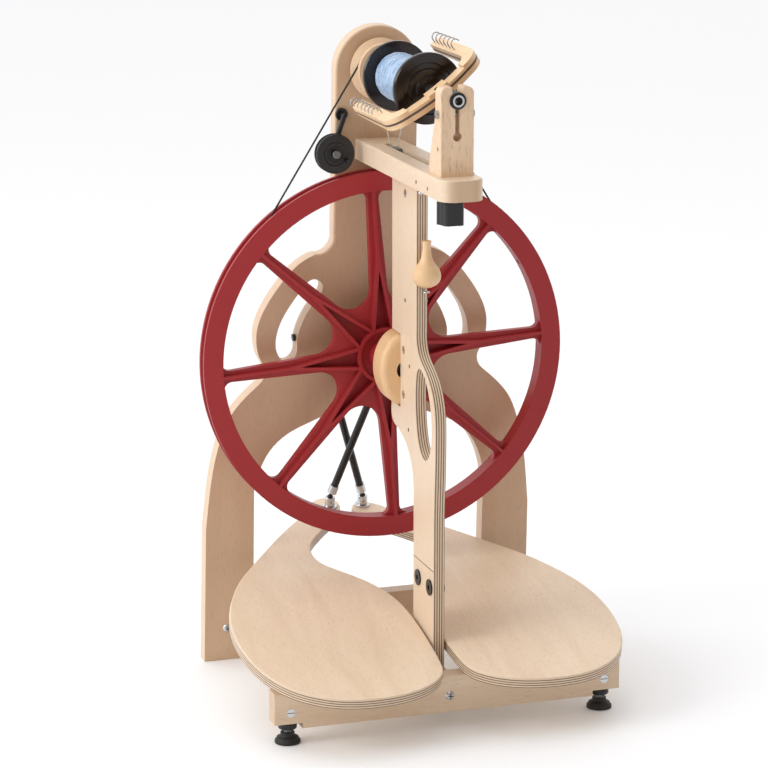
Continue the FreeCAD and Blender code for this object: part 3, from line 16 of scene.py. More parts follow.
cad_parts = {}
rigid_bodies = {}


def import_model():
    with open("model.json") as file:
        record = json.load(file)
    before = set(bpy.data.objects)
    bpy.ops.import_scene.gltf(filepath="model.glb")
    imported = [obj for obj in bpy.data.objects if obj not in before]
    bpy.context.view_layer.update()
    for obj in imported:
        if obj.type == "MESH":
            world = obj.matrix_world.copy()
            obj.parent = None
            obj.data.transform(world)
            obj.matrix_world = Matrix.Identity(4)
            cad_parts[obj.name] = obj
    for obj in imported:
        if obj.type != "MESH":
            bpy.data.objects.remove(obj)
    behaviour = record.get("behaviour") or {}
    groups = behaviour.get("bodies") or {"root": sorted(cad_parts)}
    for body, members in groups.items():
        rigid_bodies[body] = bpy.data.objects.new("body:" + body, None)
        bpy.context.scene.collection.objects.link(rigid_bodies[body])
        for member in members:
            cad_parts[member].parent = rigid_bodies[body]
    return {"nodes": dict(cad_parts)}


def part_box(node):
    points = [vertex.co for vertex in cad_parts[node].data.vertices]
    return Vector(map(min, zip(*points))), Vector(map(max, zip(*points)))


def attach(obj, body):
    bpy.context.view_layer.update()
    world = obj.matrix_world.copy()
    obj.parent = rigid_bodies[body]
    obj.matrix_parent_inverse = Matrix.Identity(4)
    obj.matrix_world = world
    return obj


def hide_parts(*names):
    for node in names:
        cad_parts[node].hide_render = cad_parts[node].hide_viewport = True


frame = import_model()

LOG = logging.getLogger("spinning_wheel")
Colour = tuple[float, float, float]
Point = tuple[float, float, float]
Socket = bpy.types.NodeSocket
Value = Socket | float

BOARD_LEAN = math.radians(3.4)
FLYER_ROLL = math.radians(36.0)
TREADLE_SLOPES = {"left": math.radians(11.1), "right": math.radians(9.7)}
BOARD_THICK = 0.018
TREADLE_THICK = 0.012
SIDES = ("left", "right")
PALE: Colour = (0.76, 0.61, 0.455)
PALE_DARK: Colour = (0.64, 0.46, 0.30)
TREAD: Colour = (0.83, 0.67, 0.50)
TAN: Colour = (0.66, 0.46, 0.305)
TAN_DARK: Colour = (0.58, 0.385, 0.235)


class Grain(Enum):
    """Direction that wood grain runs in."""

    X = (1.0, 0.0, 0.0)
    Y = (0.0, 1.0, 0.0)
    Z = (0.0, 0.0, 1.0)


def centre_of(node: str) -> Vector:
    """Middle of a node's box at rest, in metres."""
    low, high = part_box(node)
    return (Vector(low) + Vector(high)) / 2


def link_piece(name: str, mesh: bpy.types.Mesh) -> bpy.types.Object:
    """Links a mesh into the scene as an object at the origin.

    Args:
        name: name of the object.
        mesh: its mesh.

    Returns:
        The new object.
    """
    piece = bpy.data.objects.new(name, mesh)
    bpy.context.scene.collection.objects.link(piece)
    return piece


class Tree:
    """Short way to write a shader tree."""

    def __init__(self, name: str) -> None:
        """Starts an empty material called name."""
        self.material = bpy.data.materials.new(name)
        self.material.use_nodes = True
        self.tree = self.material.node_tree
        self.tree.nodes.clear()
        self.out = self.tree.nodes.new("ShaderNodeOutputMaterial")
        self.bsdf = self.tree.nodes.new("ShaderNodeBsdfPrincipled")
        self.tree.links.new(self.bsdf.outputs[0], self.out.inputs[0])
        self.coords = self.tree.nodes.new("ShaderNodeTexCoord")

    def node(self, kind: str, inputs: dict | None = None, **settings) -> bpy.types.Node:
        """Adds a node.

        Args:
            kind: Blender's name of the node type.
            inputs: socket name or index to a value or to another socket.
            settings: plain attributes of the node.

        Returns:
            The new node.
        """
        made = self.tree.nodes.new(kind)
        for key, value in settings.items():
            setattr(made, key, value)
        for key, value in (inputs or {}).items():
            if isinstance(value, bpy.types.NodeSocket):
                self.tree.links.new(value, made.inputs[key])
            else:
                made.inputs[key].default_value = value
        return made

    def math(self, operation: str, a: Value, b: Value = 0.0, c: Value = 0.0) -> Socket:
        """Scalar maths.

        Args:
            operation: Blender's name of the operation.
            a: first value.
            b: second value.
            c: third value, for the operations that take one.

        Returns:
            The result's socket.
        """
        return self.node("ShaderNodeMath", {0: a, 1: b, 2: c}, operation=operation).outputs[0]

    def dot(self, vector: Socket, direction: Point) -> Socket:
        """Dot product of a vector with a fixed direction."""
        made = self.node("ShaderNodeVectorMath", {0: vector, 1: direction}, operation="DOT_PRODUCT")
        return made.outputs["Value"]

    def stretched(self, vector: Socket, scale: Point) -> Socket:
        """Coordinates multiplied by a scale, for long grain."""
        made = self.node("ShaderNodeVectorMath", {0: vector, 1: scale}, operation="MULTIPLY")
        return made.outputs[0]

    def noise(self, vector: Socket, scale: float, detail: float = 3.0, rough: float = 0.55,
              twist: float = 0.0) -> Socket:
        """Noise from 0 to 1.

        Args:
            vector: coordinates.
            scale: size of the pattern, in cycles a metre.
            detail: octaves.
            rough: weight of the fine octaves.
            twist: distortion of the pattern.

        Returns:
            The noise's value socket.
        """
        values = {"Vector": vector, "Scale": scale, "Detail": detail, "Roughness": rough,
                  "Distortion": twist}
        return self.node("ShaderNodeTexNoise", values).outputs["Fac"]

    def ramp(self, value: Socket, stops: list[tuple[float, float]]) -> Socket:
        """Grey ramp through (place, level) stops."""
        made = self.node("ShaderNodeValToRGB", {"Fac": value})
        elements = made.color_ramp.elements
        while len(elements) < len(stops):
            elements.new(0.5)
        for element, (place, level) in zip(elements, stops):
            element.position = place
            element.color = (level, level, level, 1.0)
        return made.outputs[0]

    def mix(self, amount: Value, a: Socket | Colour, b: Socket | Colour) -> Socket:
        """Mixes two colours.

        Args:
            amount: share of the second colour.
            a: first colour.
            b: second colour.

        Returns:
            The mixed colour's socket.
        """
        made = self.node("ShaderNodeMix", data_type="RGBA")
        for index, value in ((0, amount), (6, a), (7, b)):
            if isinstance(value, bpy.types.NodeSocket):
                self.tree.links.new(value, made.inputs[index])
            elif index == 0:
                made.inputs[index].default_value = value
            else:
                made.inputs[index].default_value = (*value, 1.0)
        return made.outputs[2]

    def finish(self, colour: Socket | Colour, rough: Value, bump: Socket | None = None, depth: float = 0.1,
               reach: float = 0.0005, **shader: float | tuple[float, ...]) -> bpy.types.Material:
        """Links the shader's main sockets.

        Args:
            colour: base colour, socket or colour.
            rough: roughness, socket or number.
            bump: height socket, if any.
            depth: bump strength.
            reach: bump distance in metres.
            shader: other shader sockets by name, with underscores for spaces.

        Returns:
            The material.
        """
        for key, value in (("Base Color", colour), ("Roughness", rough)):
            if isinstance(value, bpy.types.NodeSocket):
                self.tree.links.new(value, self.bsdf.inputs[key])
            else:
                self.bsdf.inputs[key].default_value = (*value, 1.0) if key == "Base Color" else value
        for key, value in shader.items():
            self.bsdf.inputs[key.replace("_", " ")].default_value = value
        if bump is not None:
            made = self.node("ShaderNodeBump", {"Strength": depth, "Distance": reach, "Height": bump})
            self.tree.links.new(made.outputs[0], self.bsdf.inputs["Normal"])
        return self.material


@dataclass(frozen=True)
class Wood:
    """Solid pale wood with fine grain along one axis."""

    name: str
    light: Colour = (0.83, 0.64, 0.43)
    dark: Colour = (0.68, 0.46, 0.27)
    grain: Grain = Grain.Y
    contrast: float = 0.5
    rough: float = 0.42
    fleck: float = 0.3
    end_shade: float = 0.55
    broad_scale: float = 38.0
    fine_scale: float = 420.0
    fleck_scale: float = 700.0
    end_tint: Colour = (0.78, 0.66, 0.56)

    def grain_value(self, tree: Tree) -> Socket:
        """Soft streaks that run along the grain."""
        axis = Vector(self.grain.value)
        scale = tuple(1.0 - 0.94 * a for a in axis)
        coords = tree.stretched(tree.coords.outputs["Object"], scale)
        broad = tree.noise(coords, self.broad_scale, 2.0, 0.5, 0.6)
        fine = tree.noise(coords, self.fine_scale, 4.0, 0.6)
        return tree.math("ADD", tree.math("MULTIPLY", broad, 0.7), tree.math("MULTIPLY", fine, 0.3))

    def surface(self, tree: Tree, light: Colour, dark: Colour) -> tuple[Socket, Socket]:
        """Colour of the wood, with grain, flecks and darker sawn ends.

        Args:
            tree: the material's tree.
            light: colour between the streaks.
            dark: colour of the streaks.

        Returns:
            The colour's and the height's sockets.
        """
        value = self.grain_value(tree)
        shade = tree.ramp(value, [(0.32, 1.0), (0.66, 0.0)])
        shade = tree.math("MULTIPLY", shade, self.contrast)
        axis = Vector(self.grain.value)
        coords = tree.stretched(tree.coords.outputs["Object"], tuple(1.0 - 0.85 * a for a in axis))
        spots = tree.ramp(tree.noise(coords, self.fleck_scale, 2.0), [(0.55, 0.0), (0.72, self.fleck)])
        colour = tree.mix(spots, tree.mix(shade, light, dark), tuple(0.72 * c for c in dark))
        across = tree.math("ABSOLUTE", tree.dot(tree.coords.outputs["Normal"], tuple(axis)))
        sawn = tree.ramp(across, [(0.7, 0.0), (0.95, self.end_shade)])
        end_colour = tuple(c * k for c, k in zip(dark, self.end_tint))
        return tree.mix(sawn, colour, end_colour), value

    def build(self) -> bpy.types.Material:
        """Makes the material."""
        tree = Tree(self.name)
        colour, value = self.surface(tree, self.light, self.dark)
        return tree.finish(colour, self.rough, value, 0.12, 0.0004, Coat_Weight=0.12, Coat_Roughness=0.35)


@dataclass(frozen=True)
class Plywood(Wood):
    """Plywood: veneer on the faces, plies and glue lines on the sawn edges."""

    normal: Point = (1.0, 0.0, 0.0)
    start: float = 0.0
    thick: float = 0.012
    plies: int = 9
    edge_light: Colour = (0.84, 0.68, 0.50)
    edge_mid: Colour = (0.17, 0.085, 0.045)
    edge_dark: Colour = (0.12, 0.06, 0.035)
    band: float = 0.95
    glue: float = 0.8
    end_shade: float = 0.0

    def build(self) -> bpy.types.Material:
        """Makes the material."""
        tree = Tree(self.name)
        face, value = self.surface(tree, self.light, self.dark)
        position = tree.coords.outputs["Object"]
        depth = tree.math("SUBTRACT", tree.dot(position, self.normal), self.start)
        layer = tree.math("MULTIPLY", depth, self.plies / self.thick)
        phase = tree.math("FRACT", layer)
        line = tree.ramp(phase, [(0.0, 1.0), (0.16, 0.0), (0.84, 0.0), (1.0, 1.0)])
        odd = tree.math("PINGPONG", layer, 1.0)
        cross = tree.ramp(odd, [(0.35, 0.0), (0.65, 1.0)])
        blotch = tree.noise(position, 160.0, 3.0)
        layered = tree.mix(tree.math("MULTIPLY", cross, self.band), self.edge_light, self.edge_mid)
        lined = tree.mix(tree.math("MULTIPLY", line, tree.math("MULTIPLY", blotch, self.glue * 1.6)),
                         layered, self.edge_dark)
        facing = tree.math("ABSOLUTE", tree.dot(tree.coords.outputs["Normal"], self.normal))
        is_face = tree.ramp(facing, [(0.55, 0.0), (0.8, 1.0)])
        colour = tree.mix(is_face, lined, face)
        sunk = tree.math("MULTIPLY", line, tree.math("SUBTRACT", 1.0, is_face))
        height = tree.math("MULTIPLY_ADD", sunk, -0.6, value)
        return tree.finish(colour, self.rough, height, 0.12, 0.0004, Coat_Weight=0.12, Coat_Roughness=0.35)


@dataclass(frozen=True)
class Laminate(Wood):
    """Solid wood with one dark layer glued in the middle."""

    normal: Point = (0.0, 0.0, 1.0)
    through: Point = (0.0, 0.0, 0.0)
    strip: Colour = (0.075, 0.035, 0.022)
    strip_half: float = 0.0013
    layer_thick: float = 0.0031

    def build(self) -> bpy.types.Material:
        """Makes the material."""
        tree = Tree(self.name)
        wood, value = self.surface(tree, self.light, self.dark)
        offset = Vector(self.normal).dot(Vector(self.through))
        depth = tree.math("SUBTRACT", tree.dot(tree.coords.outputs["Object"], self.normal), offset)
        inside = tree.math("LESS_THAN", tree.math("ABSOLUTE", depth), self.strip_half)
        layer = tree.math("FRACT", tree.math("MULTIPLY", depth, 1 / self.layer_thick))
        seam = tree.math("MULTIPLY", tree.math("LESS_THAN", layer, 0.2), 0.7)
        side = tree.math("ABSOLUTE", tree.dot(tree.coords.outputs["Normal"], self.normal))
        on_side = tree.math("LESS_THAN", side, 0.6)
        wood = tree.mix(tree.math("MULTIPLY", seam, on_side), wood, self.dark)
        colour = tree.mix(tree.math("MULTIPLY", inside, on_side), wood, self.strip)
        return tree.finish(colour, self.rough, value, 0.1, 0.0004, Coat_Weight=0.25, Coat_Roughness=0.3)


@dataclass(frozen=True)
class Plastic:
    """Moulded plastic with a fine skin and softened edges."""

    name: str
    colour: Colour
    rough: float = 0.45
    skin: float = 900.0
    variation: float = 0.12
    specular: float = 0.5
    soften: float = 0.0006

    def build(self) -> bpy.types.Material:
        """Makes the material."""
        tree = Tree(self.name)
        position = tree.coords.outputs["Object"]
        cloud = tree.noise(position, 14.0, 3.0)
        skin = tree.noise(position, self.skin, 2.0)
        darker = tuple(c * (1 - self.variation) for c in self.colour)
        colour = tree.mix(cloud, darker, self.colour)
        rough = tree.math("MULTIPLY_ADD", skin, 0.12, self.rough - 0.06)
        material = tree.finish(colour, rough, skin, 0.08, 0.0002, Specular_IOR_Level=self.specular)
        if self.soften:
            bevel = tree.node("ShaderNodeBevel", {"Radius": self.soften}, samples=6)
            bump = next(n for n in tree.tree.nodes if n.bl_idname == "ShaderNodeBump")
            tree.tree.links.new(bevel.outputs[0], bump.inputs["Normal"])
        return material


@dataclass(frozen=True)
class Metal:
    """Plated, brushed or blackened steel."""

    name: str
    colour: Colour = (0.62, 0.63, 0.65)
    rough: float = 0.28
    metallic: float = 1.0
    brushed: float = 0.08

    def build(self) -> bpy.types.Material:
        """Makes the material."""
        tree = Tree(self.name)
        position = tree.coords.outputs["Object"]
        lines = tree.noise(tree.stretched(position, (1.0, 0.12, 1.0)), 1400.0, 2.0)
        stain = tree.noise(position, 90.0, 3.0)
        rough = tree.math("MULTIPLY_ADD", stain, 0.16, self.rough - 0.08)
        darker = tuple(c * 0.8 for c in self.colour)
        colour = tree.mix(stain, darker, self.colour)
        return tree.finish(colour, rough, lines, self.brushed, 0.0001, Metallic=self.metallic)


@dataclass(frozen=True)
class Fibre:
    """Spun yarn with a soft, uneven colour."""

    name: str
    light: Colour
    dark: Colour
    rough: float = 0.85

    def build(self) -> bpy.types.Material:
        """Makes the material."""
        tree = Tree(self.name)
        position = tree.coords.outputs["Object"]
        fuzz = tree.noise(tree.stretched(position, (1.0, 2.4, 1.0)), 520.0, 4.0, 0.7)
        patch = tree.noise(position, 60.0, 2.0)
        amount = tree.math("ADD", tree.math("MULTIPLY", fuzz, 0.65), tree.math("MULTIPLY", patch, 0.35))
        colour = tree.mix(tree.ramp(amount, [(0.36, 0.0), (0.62, 1.0)]), self.dark, self.light)
        return tree.finish(colour, self.rough, fuzz, 0.5, 0.0004, Sheen_Weight=0.3, Sheen_Roughness=0.5)


def flyer_normal() -> Point:
    """Direction square to the flyer's flat faces."""
    return (-math.sin(FLYER_ROLL), 0.0, math.cos(FLYER_ROLL))


def treadle_normal(side: str) -> Point:
    """Direction square to a treadle's top face."""
    slope = TREADLE_SLOPES[side]
    return (0.0, -math.sin(slope), math.cos(slope))


def low_depth(node: str, normal: Point, thick: float) -> float:
    """Depth of a board's lower face along its normal, from its mesh.

    Args:
        node: CAD node of the board.
        normal: unit vector square to its faces.
        thick: the board's thickness in metres.

    Returns:
        The depth at which the plies start.
    """
    direction = Vector(normal)
    mesh = frame["nodes"][node].data
    depths = sorted(vertex.co.dot(direction) for vertex in mesh.vertices)
    middle = (depths[len(depths) // 50] + depths[-len(depths) // 50]) / 2
    return middle - thick / 2


class Paint:
    """Builds each finish and puts it on its CAD nodes."""

    def __init__(self) -> None:
        """Lists the finishes by node."""
        board = (0.0, math.cos(BOARD_LEAN), math.sin(BOARD_LEAN))
        self.finishes: dict[str, object] = {}
        self.add(Plywood("board_ply", light=TAN, dark=TAN_DARK, grain=Grain.Z, normal=board,
                         start=low_depth("back_board", board, BOARD_THICK), thick=BOARD_THICK, plies=13,
                         edge_light=(0.80, 0.60, 0.42), glue=0.25, band=0.3), "back_board")
        self.add(Plywood("cross_ply", light=TAN, dark=TAN_DARK, grain=Grain.X, normal=board,
                         start=low_depth("rear_cross_bar", board, BOARD_THICK), thick=BOARD_THICK,
                         plies=13), "rear_cross_bar")
        self.add(Plywood("post_ply", light=PALE, dark=PALE_DARK, grain=Grain.Z, start=-0.006,
                         contrast=0.3), "front_post", "lower_post")
        for side in SIDES:
            normal = treadle_normal(side)
            node = "treadle_" + side
            self.add(Plywood("treadle_ply_" + side, light=TREAD, dark=PALE_DARK, grain=Grain.Y,
                             normal=normal, start=low_depth(node, normal, TREADLE_THICK),
                             contrast=0.45), node)
        self.add(Wood("beech_y", light=PALE, dark=PALE_DARK, grain=Grain.Y, contrast=0.5), "mother_of_all")
        self.add(Wood("beech_x", light=PALE, dark=PALE_DARK, grain=Grain.X, contrast=0.6), "front_bar")
        self.add(Wood("beech_z", light=(0.82, 0.62, 0.43), dark=(0.70, 0.48, 0.31), grain=Grain.Z,
                      contrast=0.6, fleck=0.75), "front_maiden")
        self.add(Wood("turned_maple", light=(0.80, 0.55, 0.31), dark=(0.66, 0.40, 0.20), grain=Grain.Z,
                      contrast=0.6), "hub_block", "threading_handle")
        self.add(Wood("whorl_maple", light=(0.83, 0.62, 0.42), dark=(0.68, 0.45, 0.27), grain=Grain.X),
                 "flyer_whorl")
        self.add(Laminate("flyer_laminate", light=(0.83, 0.60, 0.36), dark=(0.63, 0.38, 0.19),
                          normal=flyer_normal(), through=tuple(centre_of("flyer_shaft"))), "flyer_arms")
        self.add(Plastic("wheel_red", (0.38, 0.020, 0.026), rough=0.42, specular=0.38, soften=0.0011),
                 "drive_wheel")
        self.add(Plastic("black_plastic", (0.009, 0.009, 0.010), rough=0.36), "rear_bearing", "flyer_bush",
                 "maiden_bearing", "clamp_knob", "tension_boss", "tension_pulley", "storage_peg",
                 "treadle_lugs_left", "treadle_lugs_right")
        self.add(Plastic("tube_black", (0.010, 0.010, 0.011), rough=0.34), "footman_rod_left",
                 "footman_rod_right")
        self.add(Plastic("bobbin_plastic", (0.013, 0.007, 0.0055), rough=0.17, variation=0.3), "bobbin")
        self.add(Plastic("grey_plastic", (0.2, 0.2, 0.21), rough=0.5), "brake_bar")
        self.add(Plastic("foot_rubber", (0.014, 0.014, 0.014), rough=0.6, skin=500.0), "foot_pad_left",
                 "foot_pad_right")
        self.add(Plastic("band_black", (0.012, 0.012, 0.012), rough=0.6, soften=0.0), "drive_band")
        self.add(Plastic("brake_line", (0.62, 0.60, 0.54), rough=0.4, soften=0.0), "brake_cord")
        self.add(Metal("zinc", (0.66, 0.67, 0.69), 0.24), "dome_screws", "barrel_nuts", "foot_stem_left",
                 "foot_stem_right", "brake_spring", "post_peg", "screw_eye", "orifice",
                 "treadle_fitting_left", "treadle_fitting_right", "footman_fittings_left",
                 "footman_fittings_right")
        self.add(Metal("steel", (0.5, 0.5, 0.51), 0.3), "hub_block_bolts", "front_bearing", "axle",
                 "crank_bar", "moa_bolts", "flyer_shaft", "flyer_hooks", "maiden_bolt", "maiden_stud",
                 "threading_wire", "treadle_hinges")
        self.add(Metal("black_steel", (0.03, 0.03, 0.032), 0.34, 0.6), "lap_bolts", "tension_arm",
                 "tension_bearing")
        self.add(Metal("dark_steel", (0.2, 0.2, 0.21), 0.24), "tension_nut")
        self.add(Fibre("yarn_blue", (0.58, 0.72, 0.88), (0.22, 0.36, 0.58)), "bobbin_yarn")

    def add(self, finish: object, *nodes: str) -> None:
        """Puts one finish on some nodes.

        Args:
            finish: the finish, with a name and a build method.
            nodes: names of the CAD nodes.
        """
        for node in nodes:
            self.finishes[node] = finish

    def apply(self) -> dict[str, bpy.types.Material]:
        """Builds the materials and assigns them.

        Returns:
            The materials by name.
        """
        made: dict[str, bpy.types.Material] = {}
        for node, finish in self.finishes.items():
            if finish.name not in made:
                made[finish.name] = finish.build()
            target = frame["nodes"][node]
            slots = target.material_slots
            if not slots:
                target.data.materials.append(made[finish.name])
            for slot in slots:
                slot.material = made[finish.name]
        left_over = set(frame["nodes"]) - set(self.finishes)
        LOG.info("painted %d nodes, left over: %s", len(self.finishes), sorted(left_over))
        return made


class Growth:
    """Short way to write a geometry tree with named inputs."""

    def __init__(self, name: str, **inputs: float) -> None:
        """Starts a tree whose inputs have these names and values."""
        self.tree = bpy.data.node_groups.new(name, "GeometryNodeTree")
        self.tree.interface.new_socket("Geometry", in_out="INPUT", socket_type="NodeSocketGeometry")
        self.ids: dict[str, str] = {}
        for key, value in inputs.items():
            kind = "NodeSocketInt" if isinstance(value, int) else "NodeSocketFloat"
            socket = self.tree.interface.new_socket(key, in_out="INPUT", socket_type=kind)
            socket.default_value = value
            self.ids[key] = socket.identifier
        self.tree.interface.new_socket("Geometry", in_out="OUTPUT", socket_type="NodeSocketGeometry")
        self.entry = self.tree.nodes.new("NodeGroupInput")
        self.values = inputs

    def node(self, kind: str, inputs: dict | None = None, **settings) -> bpy.types.Node:
        """Adds a node.

        Args:
            kind: Blender's name of the node type.
            inputs: socket name or index to a value, a socket, or "=Name" for a tree input.
            settings: plain attributes of the node.

        Returns:
            The new node.
        """
        made = self.tree.nodes.new(kind)
        for key, value in settings.items():
            setattr(made, key, value)
        for key, value in (inputs or {}).items():
            if isinstance(value, str) and value.startswith("="):
                self.tree.links.new(self.entry.outputs[value[1:]], made.inputs[key])
            elif isinstance(value, bpy.types.NodeSocket):
                self.tree.links.new(value, made.inputs[key])
            else:
                made.inputs[key].default_value = value
        return made

    def end(self, geometry: bpy.types.NodeSocket, material: bpy.types.Material) -> None:
        """Closes the tree with Realize Instances and Set Material.

        Args:
            geometry: what the tree has made.
            material: its finish.
        """
        real = self.node("GeometryNodeRealizeInstances", {"Geometry": geometry})
        paint = self.node("GeometryNodeSetMaterial", {"Geometry": real.outputs[0], "Material": material})
        out = self.tree.nodes.new("NodeGroupOutput")
        self.tree.links.new(paint.outputs[0], out.inputs[0])

    def grow(self, name: str, place: Matrix, material: bpy.types.Material,
             smooth: bool = True) -> bpy.types.Object:
        """Evaluates the tree into a plain mesh object.

        Args:
            name: name of the new piece.
            place: where the tree's own frame goes in the row frame.
            material: the finish that the piece keeps.
            smooth: shade the faces smooth.

        Returns:
            The plain mesh object, at the origin.
        """
        seed = link_piece(name + "_seed", bpy.data.meshes.new(name + "_seed"))
        modifier = seed.modifiers.new("growth", "NODES")
        modifier.node_group = self.tree
        for key, value in self.values.items():
            modifier[self.ids[key]] = value
        graph = bpy.context.evaluated_depsgraph_get()
        mesh = bpy.data.meshes.new_from_object(seed.evaluated_get(graph), depsgraph=graph)
        seed.modifiers.remove(modifier)
        bpy.data.objects.remove(seed)
        mesh.name = name
        mesh.transform(place)
        mesh.materials.clear()
        mesh.materials.append(material)
        if smooth:
            mesh.shade_smooth()
        else:
            mesh.shade_flat()
        return link_piece(name, mesh)


def coil_tree(name: str, material: bpy.types.Material, **inputs: float) -> Growth:
    """Round wire wound on a cylinder along +Z.

    Args:
        name: name of the tree.
        material: finish of the wire.
        inputs: Turns, Radius, Length, Wire, Wobble and Seed.

    Returns:
        The finished tree.
    """
    growth = Growth(name, **inputs)
    spiral = growth.node("GeometryNodeCurveSpiral", {
        "Resolution": 40, "Rotations": "=Turns", "Start Radius": "=Radius", "End Radius": "=Radius",
        "Height": "=Length"})
    shift = growth.node("FunctionNodeRandomValue", {
        "Min": (-1.0, -1.0, -1.0), "Max": (1.0, 1.0, 1.0), "Seed": "=Seed"}, data_type="FLOAT_VECTOR")
    scaled = growth.node("ShaderNodeVectorMath", {0: shift.outputs[0], "Scale": "=Wobble"},
                         operation="SCALE")
    moved = growth.node("GeometryNodeSetPosition", {
        "Geometry": spiral.outputs[0], "Offset": scaled.outputs[0]})
    profile = growth.node("GeometryNodeCurvePrimitiveCircle", {"Resolution": 6, "Radius": "=Wire"})
    wire = growth.node("GeometryNodeCurveToMesh", {
        "Curve": moved.outputs[0], "Profile Curve": profile.outputs[0], "Fill Caps": True})
    growth.end(wire.outputs[0], material)
    return growth


def along_y(x: float, y: float, z: float) -> Matrix:
    """Place for a tree whose +Z should run along -Y from a point in metres."""
    return Matrix.Translation((x, y, z)) @ Matrix.Rotation(math.radians(90), 4, "X")


def lathe(name: str, profile: list[tuple[float, float]], place: Matrix,
          steps: int = 72) -> bpy.types.Object:
    """Closed turned piece about +Z.

    Args:
        name: name of the new piece.
        profile: (radius, height) pairs from one end to the other, on or off the axis.
        place: where the axis goes in the row frame.
        steps: number of flats round the axis.

    Returns:
        The new object, smooth shaded.
    """
    verts: list[Point] = []
    faces: list[tuple[int, ...]] = []
    for radius, height in profile:
        for k in range(steps):
            angle = 2 * math.pi * k / steps
            verts.append((radius * math.cos(angle), radius * math.sin(angle), height))
    for row in range(len(profile) - 1):
        for k in range(steps):
            a, b = row * steps + k, row * steps + (k + 1) % steps
            faces.append((a, b, b + steps, a + steps))
    faces.append(tuple(reversed(range(steps))))
    faces.append(tuple(range(len(verts) - steps, len(verts))))
    mesh = bpy.data.meshes.new(name)
    mesh.from_pydata(verts, [], faces)
    mesh.transform(place)
    mesh.shade_smooth()
    mesh.update()
    return link_piece(name, mesh)


@dataclass
class YarnPackage:
    """Yarn wound on the bobbin's core, in place of the plain solid."""

    strand: float = 0.00078
    pitch: float = 0.0019
    under: float = 0.0022
    belly: float = 0.0006
    end_drop: float = 0.002
    wrap_lift: float = 0.0004
    cross_lift: float = 0.00105
    cross_spread: float = 4.3
    wobble: float = 0.00028
    steps: int = 24

    def core_profile(self, inner: float, length: float) -> list[tuple[float, float]]:
        """Outline of the wound body below the outer strands.

        Args:
            inner: its radius at the ends of the full part.
            length: its length.

        Returns:
            (radius, height) pairs from one end to the other.
        """
        profile = []
        for k in range(self.steps + 1):
            drop = self.end_drop if 0 < k < self.steps else 0
            swell = self.belly * math.sin(math.pi * k / self.steps)
            profile.append((inner - self.end_drop + drop + swell, length * k / self.steps))
        return profile

    def build(self, material: bpy.types.Material) -> None:
        """Winds the yarn.

        Args:
            material: finish of the yarn.
        """
        low, high = (Vector(corner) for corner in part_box("bobbin_yarn"))
        radius = (high.x - low.x) / 2
        length = high.y - low.y
        axis = centre_of("bobbin_yarn")
        start = along_y(axis.x, high.y, axis.z)
        inner = radius - self.under
        core = lathe("yarn_core", self.core_profile(inner, length), start)
        core.data.materials.append(material)
        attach(core, "bobbin")
        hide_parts("bobbin_yarn")
        turns_full = length / self.pitch
        layers = [("yarn_wraps", turns_full, inner + self.wrap_lift, 3, False),
                  ("yarn_crossing", turns_full / self.cross_spread, inner + self.cross_lift, 8, True)]
        for name, turns, reach, seed, back in layers:
            tree = coil_tree(name, material, Turns=turns, Radius=reach, Length=length - 2 * self.strand,
                             Wire=self.strand, Wobble=self.wobble, Seed=seed)
            place = start @ Matrix.Translation((0, 0, self.strand))
            if back:
                place = place @ Matrix.Diagonal((1, -1, 1, 1))
            wraps = tree.grow(name, place, material)
            if back:
                wraps.data.flip_normals()
            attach(wraps, "bobbin")


@dataclass
class Threads:
    """Screw threads on the levelling feet and the brake spring's coil."""

    pitch: float = 0.00125
    wire: float = 0.00042
    thread_radius: float = 0.00295
    into_bar: float = 0.004
    coil_turns: float = 15.0
    coil_radius: float = 0.0026
    coil_length: float = 0.042
    coil_wire: float = 0.00045
    coil_start: float = 0.003

    def build(self, material: bpy.types.Material) -> None:
        """Adds the threads and the coil.

        Args:
            material: finish of the wire.
        """
        for side in SIDES:
            pad_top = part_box("foot_pad_" + side)[1][2]
            stem = centre_of("foot_stem_" + side)
            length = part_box("front_bar")[0][2] - pad_top + self.into_bar
            name = "foot_thread_" + side
            tree = coil_tree(name, material, Turns=length / self.pitch, Radius=self.thread_radius,
                             Length=length, Wire=self.wire, Wobble=0.0, Seed=1)
            piece = tree.grow(name, Matrix.Translation((stem.x, stem.y, pad_top)), material)
            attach(piece, "foot_" + side)
        middle = centre_of("brake_spring")
        start_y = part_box("brake_spring")[1][1] - self.coil_start
        tree = coil_tree("brake_coil", material, Turns=self.coil_turns, Radius=self.coil_radius,
                         Length=self.coil_length, Wire=self.coil_wire, Wobble=0.0, Seed=1)
        piece = tree.grow("brake_coil", along_y(middle.x, start_y, middle.z), material)
        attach(piece, "frame")


@dataclass
class RecessesWithPaintedShade:
    """Cross recesses in the domed screws, as flat dark crosses: the cross shape is real, its dark colour
    is painted shade in the recess.
    """

    arm: float = 0.0052
    width: float = 0.0011
    deep: float = 0.0012

    def build(self, material: bpy.types.Material) -> None:
        """Marks each domed screw head with a dark cross of painted shade.

        Args:
            material: dark finish that paints the shade in the recess.
        """
        # Each cross box stands just proud of the zinc head; its dark finish is painted shade in the
        # recess.
        growth = Growth("cross_recess_shade", Arm=self.arm, Width=self.width, Deep=self.deep)
        sizes = []
        for x, z in (("=Arm", "=Width"), ("=Width", "=Arm")):
            size = growth.node("ShaderNodeCombineXYZ", {"X": x, "Y": "=Deep", "Z": z})
            sizes.append(growth.node("GeometryNodeMeshCube", {"Size": size.outputs[0]}).outputs[0])
        join = growth.node("GeometryNodeJoinGeometry")
        for size in sizes:
            growth.tree.links.new(size, join.inputs[0])
        every = growth.node("GeometryNodeJoinGeometry")
        for head in screw_heads():
            moved = growth.node("GeometryNodeTransform", {
                "Geometry": join.outputs[0], "Translation": head})
            growth.tree.links.new(moved.outputs[0], every.inputs[0])
        growth.end(every.outputs[0], material)
        piece = growth.grow("screw_recess_shades", Matrix.Identity(4), material, smooth=False)
        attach(piece, "frame")


